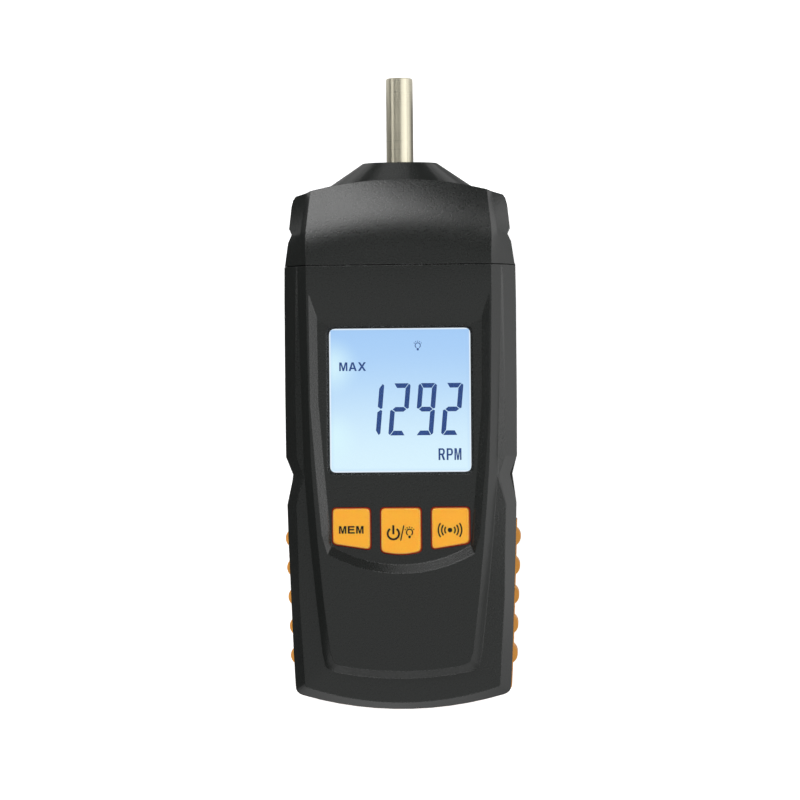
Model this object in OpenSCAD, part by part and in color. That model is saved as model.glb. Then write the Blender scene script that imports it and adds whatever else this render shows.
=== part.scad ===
// Contact tachometer: a hand-held meter whose spindle is pressed against a turning shaft.
// It lies on its back: +Z from the back to the keys, +Y from the tail to the spindle's tip.
// Every module works from the middle of the tail, and placed() shifts it to the part's origin.

/* [Case] */
// Greatest width of the case
case_w = 75.2; // [73:0.1:80]
// Length of the case, from the tail to the top of the head
case_l = 171.6; // [168:0.1:185]
// Thickness of the case, from the back to the raised deck
case_t = 36.5; // [36:0.1:40]
// Wall of the moulded shells
wall = 2.2; // [1.8:0.1:2.5]
// Height of the parting line between the front and rear shells
part_z = 18; // [17:0.1:19]
// Height of the case's upright sides, where the side chamfer starts
side_z = 27; // [26:0.1:28]
// Drop from the deck to the shoulder beside it
shoulder_drop = 3.9; // [3:0.1:4.5]
// Rise of the shoulder from its outer edge to the foot of the deck
shoulder_rise = 0.4; // [0.2:0.1:0.8]
// Width of the back's bevelled edge
back_edge_w = 4.5; // [3:0.1:5]
// Height of the back's bevelled edge
back_edge_h = 3.4; // [3:0.1:3.5]
// Thickness of the back wall
back_wall = 2; // [1.8:0.1:2.4]

/* [Head] */
// Length of the head, from the seam to its top
head_l = 27.8; // [27:0.1:30]
// Gap left at the seam between the head cover and the front shell
seam_gap = 0.25; // [0.15:0.05:0.4]
// Fall of the head's deck from the seam to the top
head_fall = 4.2; // [3:0.1:5]
// Height of the spindle's axis above the back
axis_z = 17.5; // [17:0.1:18]
// Half-width of the collar's foot, across the case
collar_foot_rx = 25.4; // [24:0.1:26]
// Half-height of the collar's foot, through the case
collar_foot_rz = 13.6; // [12:0.1:14]
// Half-width of the collar's flat top
collar_top_rx = 12.3; // [11:0.1:13.5]
// Half-height of the collar's flat top
collar_top_rz = 8.2; // [7.5:0.1:9]
// Height of the collar above the top of the head
collar_h = 5.9; // [4.5:0.1:7]

/* [Panel] */
// Depth of the sunk panel below the deck
recess_d = 1.8; // [1.4:0.1:2.2]
// Wall under the sunk panel
panel_wall = 2.5; // [2.3:0.1:2.8]
// From the seam to the upper edge of the sunk panel
seam_to_recess = 9.4; // [8:0.1:11]
// Length of the sloping wall at the panel's upper edge
recess_slope_l = 7.3; // [5:0.1:9]
// From the side of the case to the display lens
lens_side = 14.2; // [13.8:0.1:15]
// Length of the display lens
lens_l = 47.6; // [46.6:0.1:48.2]
// Thickness of the display lens
lens_t = 1.2; // [1:0.1:1.4]
// Depth of the lens's face below the sunk panel
lens_sink = 0.4; // [0.2:0.1:0.6]
// From the sloping wall's foot to the lens
slope_to_lens = 3.1; // [2.6:0.1:3.6]
// Margin of the lens round the window
window_margin = 0.6; // [0.5:0.1:1.2]

/* [Keys] */
// From the lens to the keys
lens_to_keys = 10.9; // [10:0.1:11.5]
// Width of the middle key
mid_key_w = 12.9; // [12:0.1:13.4]
// Length of the middle key at its sides
mid_key_l = 13.9; // [12:0.1:14]
// Bulge of the middle key's curved lower edge
mid_key_bulge = 0.95; // [0.5:0.05:1.3]
// From the side of the case to a side key
key_side = 15.6; // [15.4:0.1:16.4]
// Length of a side key on the side by the middle key
side_key_l = 13.3; // [12:0.1:13.4]
// Rise of a side key's slanted lower edge
side_key_slant = 1.9; // [1:0.1:2.6]
// Space between the middle key and a side key
key_space = 3.45; // [3.2:0.05:4]
// Height of the key tops above the sunk panel
key_proud = 0.9; // [0.7:0.1:1.2]
// Running gap all round a key
key_gap = 0.3; // [0.25:0.05:0.4]
// Travel of a key
key_travel = 0.5; // [0.3:0.05:0.6]

/* [Spindle] */
// Diameter of the spindle outside the case
spindle_d = 8.8; // [8:0.1:9]
// Length of the spindle beyond the collar
spindle_out = 27.9; // [20:0.1:35]
// Diameter of the spindle inside its bearings
journal_d = 6; // [5.8:0.1:6]
// Diameter of the socket in the spindle's tip
socket_d = 5; // [4:0.1:5.5]
// Depth of the socket in the spindle's tip
socket_l = 14; // [10:0.5:18]

/* [Bearings] */
// Outside diameter of each ball bearing
bearing_d = 15; // [14.6:0.1:15.5]
// Width of each ball bearing
bearing_w = 5; // [4.8:0.1:5.4]
// Distance between the two bearings
bearing_space = 10; // [9:0.1:12]
// Diameter of the bearing balls
ball_d = 2.38; // [2.2:0.02:2.4]
// Number of balls in a bearing
ball_n = 8; // [7:1:8]
// Diameter of the slotted encoder disc
disc_d = 17; // [16.6:0.1:17.4]
// Thickness of the encoder disc
disc_t = 1; // [0.6:0.1:1.2]
// Number of slots in the encoder disc
slot_n = 12; // [6:1:14]

/* [Grip] */
// Length of the rubber grip, from the tail up each side
grip_l = 61; // [59:0.5:63]
// Thickness of the grip in its channel
grip_t = 2; // [1.6:0.1:2]
// How far the grip stands out of the case
grip_proud = 0.3; // [0.1:0.05:0.5]
// How far each rounded rib stands out of the grip
rib_h = 1.3; // [1:0.1:1.6]
// Width of each rib where it meets the grip
rib_w = 5.3; // [4.5:0.1:6]
// From the last rib to the end of the grip
rib_to_end = 5.7; // [4.5:0.1:7]
// Distance of the first rib from the tail
first_rib_y = 17; // [16:0.1:18]
// Number of ribs on each side
rib_n = 5; // [3:1:5]

/* [Battery] */
// Diameter of a cell
cell_d = 10.5; // [10:0.1:10.5]
// Length of a cell with its button
cell_l = 44.5; // [44:0.1:44.5]
// Thickness of the battery door
door_t = 1.9; // [1.7:0.1:1.9]
// Half-width of the battery door
door_hw = 18.4; // [18:0.1:19]
// Free space round the sliding door
door_gap = 0.2; // [0.15:0.05:0.3]

/* [Hidden] */
$fn = 48;

// Overrun of a cut past the face it opens
over = 1;
// Least clearance between pieces that are pushed together
fit = 0.05;
// Gap between pieces that sit side by side
seat = 0.1;

// Overall sizes
half_w = case_w / 2;
lens_w = case_w - 2 * lens_side;
side_key_w = half_w - key_side - mid_key_w / 2 - key_space;
rib_pitch = (grip_l - rib_to_end - first_rib_y) / (rib_n - 1);
collar_y = case_l + collar_h;
tip_y = collar_y + spindle_out;
seam_y = case_l - head_l;
deck_z = case_t;
shoulder_z = deck_z - shoulder_drop;
panel_z = deck_z - recess_d;
panel_under_z = panel_z - panel_wall;

// Outlines of the case: half-widths at stations along it, as shares of the half-width,
// and stations as shares of the case's length. The fifth station is the waist.
station_shares = [0.110, 0.210, 0.315, 0.388, 0.443, 0.478, 0.583, 0.775];
side_shares = [0.946, 0.963, 0.981, 0.989, 0.934, 0.997, 1, 1];
rear_side_shares = [0.946, 0.963, 0.981, 0.989, 0.955, 0.997, 1, 1];
crease_shares = [0.855, 0.883, 0.891, 0.902, 0.843, 0.894, 0.902, 0.894];
foot_shares = [0.684, 0.734, 0.782, 0.809, 0.827, 0.833, 0.848, 0.872];
deck_shares = [0.612, 0.668, 0.713, 0.740, 0.758, 0.767, 0.782, 0.795];
// Half-widths at the seam
seam_side_share = 0.997;
seam_crease_share = 0.888;
seam_foot_share = 0.874;
seam_deck_share = 0.795;
// Each outline's tail: middle, end of its arc and start of its side, as [x, y] shares
side_tail_shares = [[0, 0], [0.864, 0.0268], [0.931, 0.044]];
crease_tail_shares = [[0, 0.0150], [0.806, 0.0430], [0.842, 0.056]];
foot_tail_shares = [[0, 0.0612], [0.560, 0.0730], [0.667, 0.092]];
deck_tail_shares = [[0, 0.0758], [0.480, 0.0845], [0.598, 0.104]];
// The head's sides: station as a share of the head's length, half-width as a share.
// The third station is the foot of a notch.
head_side_shares = [[0.02, 0.990], [0.27, 0.963], [0.37, 0.928], [0.44, 0.952], [0.70, 0.932]];
head_corner_shares = [[0.78, 0.916], [0.82, 0.894]];
head_crease_shares = [[-0.1, 0.874], [0, 0.868], [0.33, 0.851], [0.77, 0.806], [1.1, 0.775]];
head_deck_shares = [[-0.1, 0.795], [0, 0.795], [0.38, 0.798], [0.78, 0.766], [1.1, 0.742]];
// Where the head's deck starts to fall, and how sharply it curves
fall_start_share = 0.25;
fall_power = 1.8;
// Rows of the head's surface, and its columns across half the deck
head_rows = 12;
deck_column_shares = [1, 0.72, 0.44, 0.16];
// Steps of the arcs at the tail and the top of the head, and of a rounded corner
arc_steps = 6;
corner_steps = 3;

// Radius of an arc that rises by sag over half a chord
function arc_r(half_chord, sag) = (pow(half_chord, 2) + pow(sag, 2)) / (2 * sag);

// Points of an arc on the right-hand side, from near the middle out to its end
function arc_half(mid_y, end, steps) =
    let (sag = end.y - mid_y, r = arc_r(end.x, abs(sag)), turn = asin(end.x / r))
    [for (i = [1 : steps]) let (a = turn * (2 * i - 1) / (2 * steps - 1))
        [r * sin(a), mid_y + sign(sag) * r * (1 - cos(a))]];

// Points of a curve from a to c that is drawn towards b
function bend(a, b, c, steps) =
    [for (i = [1 : steps]) let (t = i / (steps + 1))
        a * pow(1 - t, 2) + b * 2 * t * (1 - t) + c * pow(t, 2)];

function scaled(share) = [share.x * half_w, share.y * case_l];

// Tail of an outline: its arc, then its rounded corner
function tail_half(tail_shares) =
    let (mid = scaled(tail_shares[0]), end = scaled(tail_shares[1]), side = scaled(tail_shares[2]),
        slope = end.x / sqrt(pow(arc_r(end.x, end.y - mid.y), 2) - pow(end.x, 2)))
    concat(arc_half(mid.y, end, arc_steps),
        bend(end, [side.x, end.y + slope * (side.x - end.x)], side, corner_steps), [side]);

function side_half(shares) =
    [for (i = [0 : len(shares) - 1]) scaled([shares[i], station_shares[i]])];

// Right-hand half of the front shell's outline, up to the seam
function body_half(tail_shares, shares, seam_share) =
    concat(tail_half(tail_shares), side_half(shares), [[seam_share * half_w, seam_y]]);

// Right-hand half of the head's outline, from the seam to its top
function head_half() =
    let (corner = [for (p = head_corner_shares) [p[1] * half_w, seam_y + p[0] * head_l]],
        side = [for (p = head_side_shares) [p[1] * half_w, seam_y + p[0] * head_l]],
        top = arc_half(case_l, corner[1], arc_steps))
    concat(side, [corner[0]], [for (i = [len(top) - 1 : -1 : 0]) top[i]]);

// Right-hand half of the whole outline, from the tail to the top of the head
function case_half(shares) =
    concat(body_half(side_tail_shares, shares, seam_side_share), head_half());

// The same outline a distance d inside, drawn towards its middle so that corners stay whole
function shrunk(points, d) =
    [for (p = points) [p.x * (1 - d / half_w),
        case_l / 2 + (p.y - case_l / 2) * (1 - 2 * d / case_l)]];

function mirrored(half) = [for (i = [len(half) - 1 : -1 : 0]) [-half[i].x, half[i].y]];
function ring(half) = concat(half, mirrored(half));

// Outline moved inwards by d, square to its edges
function unit(v) = v / norm(v);
function inward(points, i) =
    let (n = len(points), e = unit(points[(i + 1) % n] - points[i])) [-e.y, e.x];
function inset(points, d) =
    let (n = len(points))
    [for (i = [0 : n - 1])
        let (a = inward(points, (i + n - 1) % n), b = inward(points, i))
            points[i] + (a + b) * d / (1 + a * b)];

function lifted(points, z) = [for (p = points) [p.x, p.y, z]];

// Corners of a polygon, each rounded by a curve that starts r before it
function rounded(points, r, steps = 3) =
    let (n = len(points))
    [for (i = [0 : n - 1])
        let (p = points[i], a = unit(points[(i + n - 1) % n] - p), b = unit(points[(i + 1) % n] - p))
            each concat([p + a * r], bend(p + a * r, p, p + b * r, steps), [p + b * r])];

// Oval a little squarer than an ellipse
oval_power = 0.75;
function bulged(v) = sign(v) * pow(abs(v), oval_power);
function ellipse(rx, rz, steps = 40) =
    [for (i = [0 : steps - 1]) let (a = 360 * (i + 0.5) / steps)
        [rx * bulged(sin(a)), -rz * bulged(cos(a))]];

function box_points(w, l) = [[-w / 2, -l / 2], [w / 2, -l / 2], [w / 2, l / 2], [-w / 2, l / 2]];
function shifted(points, v) = [for (p = points) p + v];

// Solid through a stack of rings. Paired rings are a right-hand half and its mirror image,
// and the whole of any other ring can be seen from its first point.
module loft(rings, paired = true) {
    n = len(rings[0]);
    top = (len(rings) - 1) * n;
    points = [for (r = rings) each r];
    sides = [for (k = [0 : len(rings) - 2], i = [0 : n - 1])
        let (a = k * n + i, b = k * n + (i + 1) % n, c = b + n, d = a + n)
            each i < n / 2 ? [[a, d, c], [a, c, b]] : [[a, d, b], [d, c, b]]];
    floor_cap = paired
        ? [for (i = [0 : n / 2 - 2]) let (j = n - 1 - i) each [[i, i + 1, j - 1], [i, j - 1, j]]]
        : [for (i = [1 : n - 2]) [0, i, i + 1]];
    top_cap = [for (f = floor_cap) [top + f[2], top + f[1], top + f[0]]];
    polyhedron(points = points, faces = concat(sides, floor_cap, top_cap));
}

// Tube of radius r swept along a path, with flat ends
module swept(path, r, sides = 8) {
    n = len(path);
    frames = [for (i = [0 : n - 1])
        let (t = unit(path[min(i + 1, n - 1)] - path[max(i - 1, 0)]),
            ref = abs(t.x) > 0.9 ? [0, 1, 0] : [1, 0, 0], u = unit(cross(t, ref)))
            [u, cross(t, u)]];
    points = [for (i = [0 : n - 1], k = [0 : sides - 1]) let (a = 360 * k / sides)
        path[i] + frames[i][0] * r * cos(a) + frames[i][1] * r * sin(a)];
    walls = [for (i = [0 : n - 2], k = [0 : sides - 1])
        let (a = i * sides + k, b = i * sides + (k + 1) % sides)
            each [[a, a + sides, b + sides], [a, b + sides, b]]];
    start = [for (k = [1 : sides - 2]) [0, k, k + 1]];
    end = [for (k = [1 : sides - 2]) let (e = (n - 1) * sides) [e, e + k + 1, e + k]];
    polyhedron(points = points, faces = concat(walls, start, end));
}

module placed() {
    translate([0, -tip_y / 2, 0]) children();
}

module plate(points, z, h) {
    translate([0, 0, z]) linear_extrude(height = h) polygon(points);
}

// Solid round the spindle's axis, from y up to y + l
module along_axis(y) {
    translate([0, y, axis_z]) rotate([-90, 0, 0]) children();
}

module both_sides() {
    for (side = [-1, 1]) scale_x(side) children();
}

module scale_x(side) {
    if (side > 0) children();
    else mirror([1, 0, 0]) children();
}

// Sunk panel: the opening at the deck and the floor, each a right-hand half
recess_top_y = seam_y - seam_to_recess;
recess_floor_y = recess_top_y - recess_slope_l;
lens_top_y = recess_floor_y - slope_to_lens;
lens_mid_y = lens_top_y - lens_l / 2;
key_top_y = lens_top_y - lens_l - lens_to_keys;
key_end_y = key_top_y - mid_key_l - mid_key_bulge;
// From the middle key to the panel's lower edge, and how far that edge's ends rise
key_to_edge = 3.5;
edge_rise = 6.2;
// Run of the panel's sloping side walls, and of its lower wall
side_run = 2.4;
edge_run = 2.6;
// The panel's half-widths as shares of the half-width, and where they are along its length
recess_places_shares = [0.14, 0.37, 0.60, 0.97];
recess_width_shares = [0.676, 0.724, 0.765, 0.772];
recess_end_share = 0.628;

function recess_half(inner) =
    let (run = inner * side_run, low = key_end_y - key_to_edge - (1 - inner) * edge_run,
        high = inner > 0 ? recess_floor_y : recess_top_y, span = recess_top_y - low,
        end = [recess_end_share * half_w - run / 2, low + edge_rise])
    concat(arc_half(low, end, arc_steps),
        [for (i = [0 : len(recess_places_shares) - 1])
            [recess_width_shares[i] * half_w - run,
                min(low + recess_places_shares[i] * span, high - over)]],
        [[recess_width_shares[3] * half_w - run, high]]);

module recess_cut() {
    deck = ring(recess_half(0));
    bottom = ring(recess_half(1));
    slope = recess_d;
    loft([lifted(bottom, panel_z), lifted(deck, panel_z + slope), lifted(deck, deck_z + over)]);
}

// Window in the panel behind the lens
lens_z = panel_z - lens_sink;
lens_under_z = lens_z - lens_t;
window_w = lens_w - 2 * window_margin;
window_l = lens_l - 2 * window_margin;
lens_corner = 2.5;
window_corner = 2;
function lens_outline(grow = 0) =
    shifted(rounded(box_points(lens_w + 2 * grow, lens_l + 2 * grow), lens_corner),
        [0, lens_mid_y]);
function window_outline() =
    shifted(rounded(box_points(window_w, window_l), window_corner), [0, lens_mid_y]);

// Keys: outlines, each grown by a clearance where it is the hole
key_corner = 1.5;
side_key_x = mid_key_w / 2 + key_space + side_key_w / 2;
mid_key_y = key_top_y - mid_key_l / 2;
function mid_key_outline(grow = 0) =
    let (w = mid_key_w / 2 + grow, low = key_top_y - mid_key_l - grow,
        bulge = arc_half(low - mid_key_bulge, [w, low], arc_steps))
    concat(
        [for (i = [0 : arc_steps - 2]) bulge[i]],
        bend(bulge[arc_steps - 2], [w, low], [w, low + key_corner], corner_steps),
        [[w, low + key_corner], [w, key_top_y + grow - key_corner]],
        bend([w, key_top_y + grow - key_corner], [w, key_top_y + grow],
            [w - key_corner, key_top_y + grow], corner_steps),
        [[w - key_corner, key_top_y + grow]]);
function side_key_outline(grow = 0) =
    let (w = side_key_w / 2 + grow, high = key_top_y + grow, low = key_top_y - side_key_l - grow)
    shifted(rounded([[-w, low], [w, low + side_key_slant], [w, high], [-w, high]], key_corner),
        [side_key_x, 0]);
key_top_z = panel_z + key_proud;
key_flange = 0.8;
key_flange_t = 0.9;
key_edge = 0.5;

// Spindle's train, worked back from the collar
collar_in = 6.6;
collar_back_y = case_l - collar_in;
carrier_lip = 1.5;
carrier_wall = 3;
carrier_front_y = collar_back_y - seat;
carrier_r = bearing_d / 2 + carrier_wall;
front_bearing_y = carrier_front_y - carrier_lip - bearing_w;
rear_bearing_y = front_bearing_y - bearing_space - bearing_w;
carrier_back_y = rear_bearing_y - 0.5;
spindle_r = spindle_d / 2;
journal_r = journal_d / 2;
shank_r = spindle_r - 0.2;
shoulder_out = 0.2;
clip_t = 0.8;
clip_depth = 0.6;
clip_rim = 1.8;
clip_y = rear_bearing_y - clip_t;
sensor_arm = 3.6;
sensor_slot = 3;
disc_mid_y = carrier_back_y - 0.4 - sensor_arm - sensor_slot / 2;
disc_y = disc_mid_y - disc_t / 2;
hub_r = 4;
shaft_end_y = disc_y - 1.2;
lug_x = 15.5;
lug_z = 10.2;
lug_t = 3;
lug_ys = [rear_bearing_y + bearing_w / 2, front_bearing_y + bearing_w / 2];

// Board and switches
board_t = 1.6;
lcd_t = 2.8;
lamp_panel_t = 3;
lcd_top_z = panel_under_z - seat;
lcd_z = lcd_top_z - lcd_t;
lamp_panel_z = lcd_z - lamp_panel_t;
board_top_z = lamp_panel_z - seat;
board_z = board_top_z - board_t;
board_hw = lens_w / 2 + 2.4;
board_to_disc = 2.3;
board_end_y = disc_y - board_to_disc;
keys_to_board = 6;
board_low_y = key_end_y - keys_to_board;
switch_w = 6;
switch_h = 3.5;
plunger_r = 1.7;
plunger_in = 1.6;
switch_top_z = board_top_z + switch_h;
stem_z = panel_under_z - seat - key_flange_t - seat;

// Screws: shank radius, pilot radius in plastic, clear hole, head radius and head height
screw_r = 1.45;
pilot_r = 1.5;
clear_r = 1.7;
head_r = 2.8;
head_h = 2;
boss_r = 2.9;
post_r = 4.2;
well_r = 3;
screw_l = 14;
post_floor_z = 8;
small_r = 1.1;
small_pilot_r = 1.15;
small_head_r = 2;
small_head_h = 1.3;
small_boss_r = 2.4;
small_l = 6;
// Places of the case screws along the case, as shares of its length. The first one stands
// beside the battery compartment, and the others stand in from the side of the case.
case_screw_shares = [0.100, 0.525, 0.800, 0.935];
screw_beside_cells = 7.9;
screw_in = 8;
head_screw_in = 10.6;
function case_screw(i) =
    [i == 0 ? comp_hw + comp_wall + screw_beside_cells : half_w - (i < 3 ? screw_in : head_screw_in),
        case_screw_shares[i] * case_l];
board_post_x = board_hw - 3;
board_posts = [[board_post_x, board_low_y + 3], [board_post_x, board_end_y - 2.4]];

module screw(r, l, head_rad, head_height) {
    cylinder(r = r, h = l);
    translate([0, 0, -head_height]) difference() {
        cylinder(r = head_rad, h = head_height);
        for (a = [0, 90]) rotate(a)
            cube([head_rad, head_rad / 4, head_height], center = true);
    }
}

// Solids of the case
function rim(half, d) = inset(ring(half), d);
function run_on(half) = concat(half, [half[len(half) - 1] + [0, 2 * wall]]);

module front_outer() {
    outer = body_half(side_tail_shares, side_shares, seam_side_share);
    loft([
        lifted(ring(outer), part_z),
        lifted(ring(outer), side_z),
        lifted(ring(body_half(crease_tail_shares, crease_shares, seam_crease_share)), shoulder_z),
        lifted(ring(body_half(foot_tail_shares, foot_shares, seam_foot_share)),
            shoulder_z + shoulder_rise),
        lifted(ring(body_half(deck_tail_shares, deck_shares, seam_deck_share)), deck_z)
    ]);
}

// Hollow of the front shell, open at the parting line and towards the head
module front_hollow() {
    outer = rim(run_on(body_half(side_tail_shares, side_shares, seam_side_share)), wall);
    crease = rim(run_on(body_half(crease_tail_shares, crease_shares, seam_crease_share)),
        wall * 0.8);
    foot = rim(run_on(body_half(foot_tail_shares, foot_shares, seam_foot_share)), wall);
    deck = rim(body_half(deck_tail_shares, deck_shares, seam_deck_share), wall);
    low_ceiling_z = shoulder_z - wall;
    loft([lifted(outer, part_z - over), lifted(outer, side_z - wall / 2),
        lifted(crease, low_ceiling_z)]);
    loft([lifted(foot, low_ceiling_z - over), lifted(foot, panel_under_z)]);
    intersection() {
        loft([lifted(deck, panel_under_z - over), lifted(deck, deck_z - wall)]);
        plate([[-half_w, 0], [half_w, 0], [half_w, key_end_y - key_to_edge - edge_run - wall],
            [-half_w, key_end_y - key_to_edge - edge_run - wall]], panel_under_z - over, case_t);
    }
}

module front_shell() {
    lens_pocket_z = lens_under_z;
    placed() color([0.12, 0.12, 0.12]) difference() {
        union() {
            difference() {
                front_outer();
                front_hollow();
            }
            for (i = [0 : 2]) both_sides() translate([each case_screw(i), part_z + seat])
                cylinder(r = boss_r, h = shoulder_z - wall / 2 - part_z);
            for (p = board_posts) both_sides() translate([each p, board_top_z])
                cylinder(r = small_boss_r, h = panel_z - wall / 2 - board_top_z);
        }
        recess_cut();
        plate(lens_outline(seat), lens_pocket_z, case_t);
        plate(window_outline(), part_z, case_t);
        plate(ring(mid_key_outline(key_gap)), part_z, case_t);
        both_sides() plate(side_key_outline(key_gap), part_z, case_t);
        for (i = [0 : 2]) both_sides() translate([each case_screw(i), part_z - over])
            cylinder(r = pilot_r, h = screw_l + post_floor_z - part_z + 2 * over);
        for (p = board_posts) both_sides() translate([each p, board_top_z - over])
            cylinder(r = small_pilot_r, h = small_l);
        // Square end at the seam
        translate([-case_w, seam_y - seam_gap / 2, 0]) cube([2 * case_w, head_l, 2 * case_t]);
    }
}

// Sensor board, under the encoder disc
sensor_board_z = 5;
sensor_board_w = 26;
sensor_board_l = 20;
sensor_board_top_z = sensor_board_z + board_t;
sensor_board_end_y = carrier_back_y - seat;
sensor_w = 11;
sensor_base = 1.8;
sensor_arm_h = 4.2;
sensor_post_x = sensor_board_w / 2 - 2.6;
sensor_posts = [[sensor_post_x, sensor_board_end_y - sensor_board_l + 2.6],
    [sensor_post_x, sensor_board_end_y - 2.6]];

// Battery compartment and door
grip_z = back_edge_h + 0.2;
comp_low_y = 6.4;
comp_wall = 1.5;
cell_pitch = cell_d + 0.3;
comp_hw = 1.5 * cell_pitch + 0.3;
spring_l = 4.6;
contact_t = 0.4;
comp_l = cell_l + spring_l + 2 * contact_t + 2 * seat;
comp_end_y = comp_low_y + comp_l;
cell_z = door_t + door_gap + 0.3 + cell_d / 2;
comp_top_z = cell_z + cell_d / 2 + 0.2;
rail_t = 1.3;
rail_w = 4;
tongue_w = 1.4;
tongue_z = 1;
door_end_y = comp_end_y + comp_wall + 2;
rail_hw = door_hw + rail_w;
tab_w = 2;
tab_z = comp_top_z - 2.4;

case_outline = ring(case_half(side_shares));
rear_outline = ring(case_half(rear_side_shares));

function strip(hw, low_y, high_y) = [[-hw, low_y], [hw, low_y], [hw, high_y], [-hw, high_y]];

// Oval prism along the spindle's axis
module oval(y, l, rx, rz) {
    translate([0, y, axis_z]) rotate([-90, 0, 0]) linear_extrude(height = l)
        polygon(ellipse(rx, rz));
}

// Neck of the collar where it passes the top of the head, and its flange inside
collar_neck_rx = collar_foot_rx - 1;
collar_neck_rz = collar_foot_rz - 1.6;
collar_flange = 1;
collar_foot_in = 3;
// Free space round the spindle in the collar
spindle_space = 0.35;

module collar_hole() {
    oval(collar_back_y - seat, 5 * wall, collar_neck_rx + seat, collar_neck_rz + seat);
}

// Flange space behind the top wall of the head, grown by a gap where it is a pocket
module flange_space(gap) {
    intersection() {
        oval(collar_back_y - gap, 5 * wall, collar_neck_rx + collar_flange + gap,
            collar_neck_rz + collar_flange + gap);
        plate(shrunk(case_outline, wall + seat - gap), 0, case_t);
    }
}

module nose_collar() {
    foot_y = case_l - collar_foot_in;
    cone = [for (p = [[foot_y, collar_foot_rx, collar_foot_rz],
        [collar_y, collar_top_rx, collar_top_rz]])
        [for (q = ellipse(p[1], p[2])) [q.x, p[0], axis_z - q.y]]];
    placed() color([0.09, 0.09, 0.09]) difference() {
        union() {
            intersection() {
                union() {
                    loft([cone[0], cone[1]], false);
                    oval(collar_back_y, foot_y - collar_back_y + fit, collar_foot_rx,
                        collar_foot_rz);
                }
                oval(collar_back_y - over, case_l, collar_neck_rx, collar_neck_rz);
            }
            flange_space(0);
        }
        along_axis(collar_back_y - over)
            cylinder(r = spindle_r + spindle_space, h = collar_y - collar_back_y + 2 * over);
        along_axis(collar_back_y - over) cylinder(r = felt_r + fit, h = felt_l + over);
    }
}

felt_r = 6.6;
felt_l = 1.9;
module felt_seal() {
    placed() color([0.75, 0.72, 0.66]) along_axis(collar_back_y) difference() {
        cylinder(r = felt_r, h = felt_l);
        translate([0, 0, -over]) cylinder(r = shank_r + fit, h = felt_l + 2 * over);
    }
}

module rear_outer() {
    loft([
        lifted(shrunk(rear_outline, back_edge_w), 0),
        lifted(shrunk(rear_outline, back_edge_w * 0.45), back_edge_h * 0.35),
        lifted(shrunk(rear_outline, back_edge_w * 0.16), back_edge_h),
        lifted(rear_outline, part_z)
    ]);
}

module rear_hollow() {
    loft([
        lifted(shrunk(rear_outline, back_edge_w * 0.4 + wall), back_wall),
        lifted(shrunk(rear_outline, back_edge_w * 0.16 + wall), back_edge_h + wall / 2),
        lifted(shrunk(rear_outline, wall), part_z),
        lifted(shrunk(rear_outline, wall), part_z + over)
    ]);
}

// Wall between two outlines, from z up, as far as y along the case
module band(outer, inner, z, h, y) {
    translate([0, 0, z]) linear_extrude(height = h) intersection() {
        difference() {
            polygon(outer);
            polygon(inner);
        }
        polygon(strip(case_w, -case_w, y));
    }
}

// Space of the battery door, grown by a gap where it is the slot
module door_space(gap, end_y) {
    plate(strip(door_hw + gap, -over, end_y), -over, over + tongue_z + gap);
    plate(strip(door_hw + tongue_w + gap, -over, end_y), tongue_z - gap,
        door_t - tongue_z + 2 * gap);
}

module rear_shell() {
    low_z = back_wall / 2;
    placed() color([0.12, 0.12, 0.12]) difference() {
        union() {
            difference() {
                rear_outer();
                rear_hollow();
            }
            band(shrunk(rear_outline, grip_t), shrunk(rear_outline, grip_t + wall),
                low_z, part_z - low_z, grip_l + wall);
            // Rim that locates the front shell and the head cover
            band(shrunk(case_outline, wall + 4 * seat), shrunk(case_outline, wall * 1.7),
                part_z - wall, wall + over, case_l);
            // Battery compartment, and the rails that hold its door
            plate(strip(comp_hw + comp_wall, comp_low_y - over, comp_end_y + comp_wall),
                low_z, comp_top_z + comp_wall - low_z);
            plate(strip(rail_hw, comp_low_y - over, door_end_y + wall),
                low_z, door_t + rail_t - low_z);
            for (i = [0 : 3]) both_sides() translate([each case_screw(i), low_z])
                cylinder(r = post_r, h = part_z - low_z);
            for (y = lug_ys) both_sides() translate([lug_x, y, low_z])
                cylinder(r = boss_r, h = lug_z - seat - low_z);
            for (p = sensor_posts) both_sides() translate([each p, low_z])
                cylinder(r = small_boss_r, h = sensor_board_z - low_z);
        }
        band(shrunk(rear_outline, -case_w / 4), shrunk(rear_outline, grip_t + seat),
            grip_z - seat, case_t, grip_l);
        plate(strip(comp_hw, comp_low_y, comp_end_y), low_z, comp_top_z - low_z);
        door_space(door_gap, door_end_y + door_gap);
        for (i = [0 : 3]) both_sides() translate(case_screw(i)) {
            translate([0, 0, -over]) cylinder(r = well_r, h = post_floor_z + over);
            cylinder(r = clear_r, h = part_z + over);
        }
        flange_space(seat);
        for (y = lug_ys) both_sides() translate([lug_x, y, lug_z - small_l])
            cylinder(r = small_pilot_r, h = small_l);
        for (p = sensor_posts) both_sides() translate([each p, back_wall])
            cylinder(r = small_pilot_r, h = sensor_board_z);
        collar_hole();
        // Slots for the two soldered tabs
        translate([-cell_pitch - tab_w / 2 - seat, comp_end_y - over, tab_z - seat])
            cube([tab_w + 2 * seat, comp_wall + 2 * over, contact_t + 2 * seat]);
        translate([comp_hw - over, comp_low_y, tab_z - seat])
            cube([comp_wall + 2 * over, contact_t + seat, tab_w + 2 * seat]);
    }
}

// Head cover: fall of its deck, and one row of its surface, d inside it
function head_drop(x, y) =
    let (end = head_corner_shares[1],
        r = arc_r(end[1] * half_w, (1 - end[0]) * head_l),
        v = (y + r - sqrt(pow(r, 2) - pow(x, 2)) - seam_y) / head_l)
    head_fall * pow(max(0, v - fall_start_share) / (1 - fall_start_share), fall_power);

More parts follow.
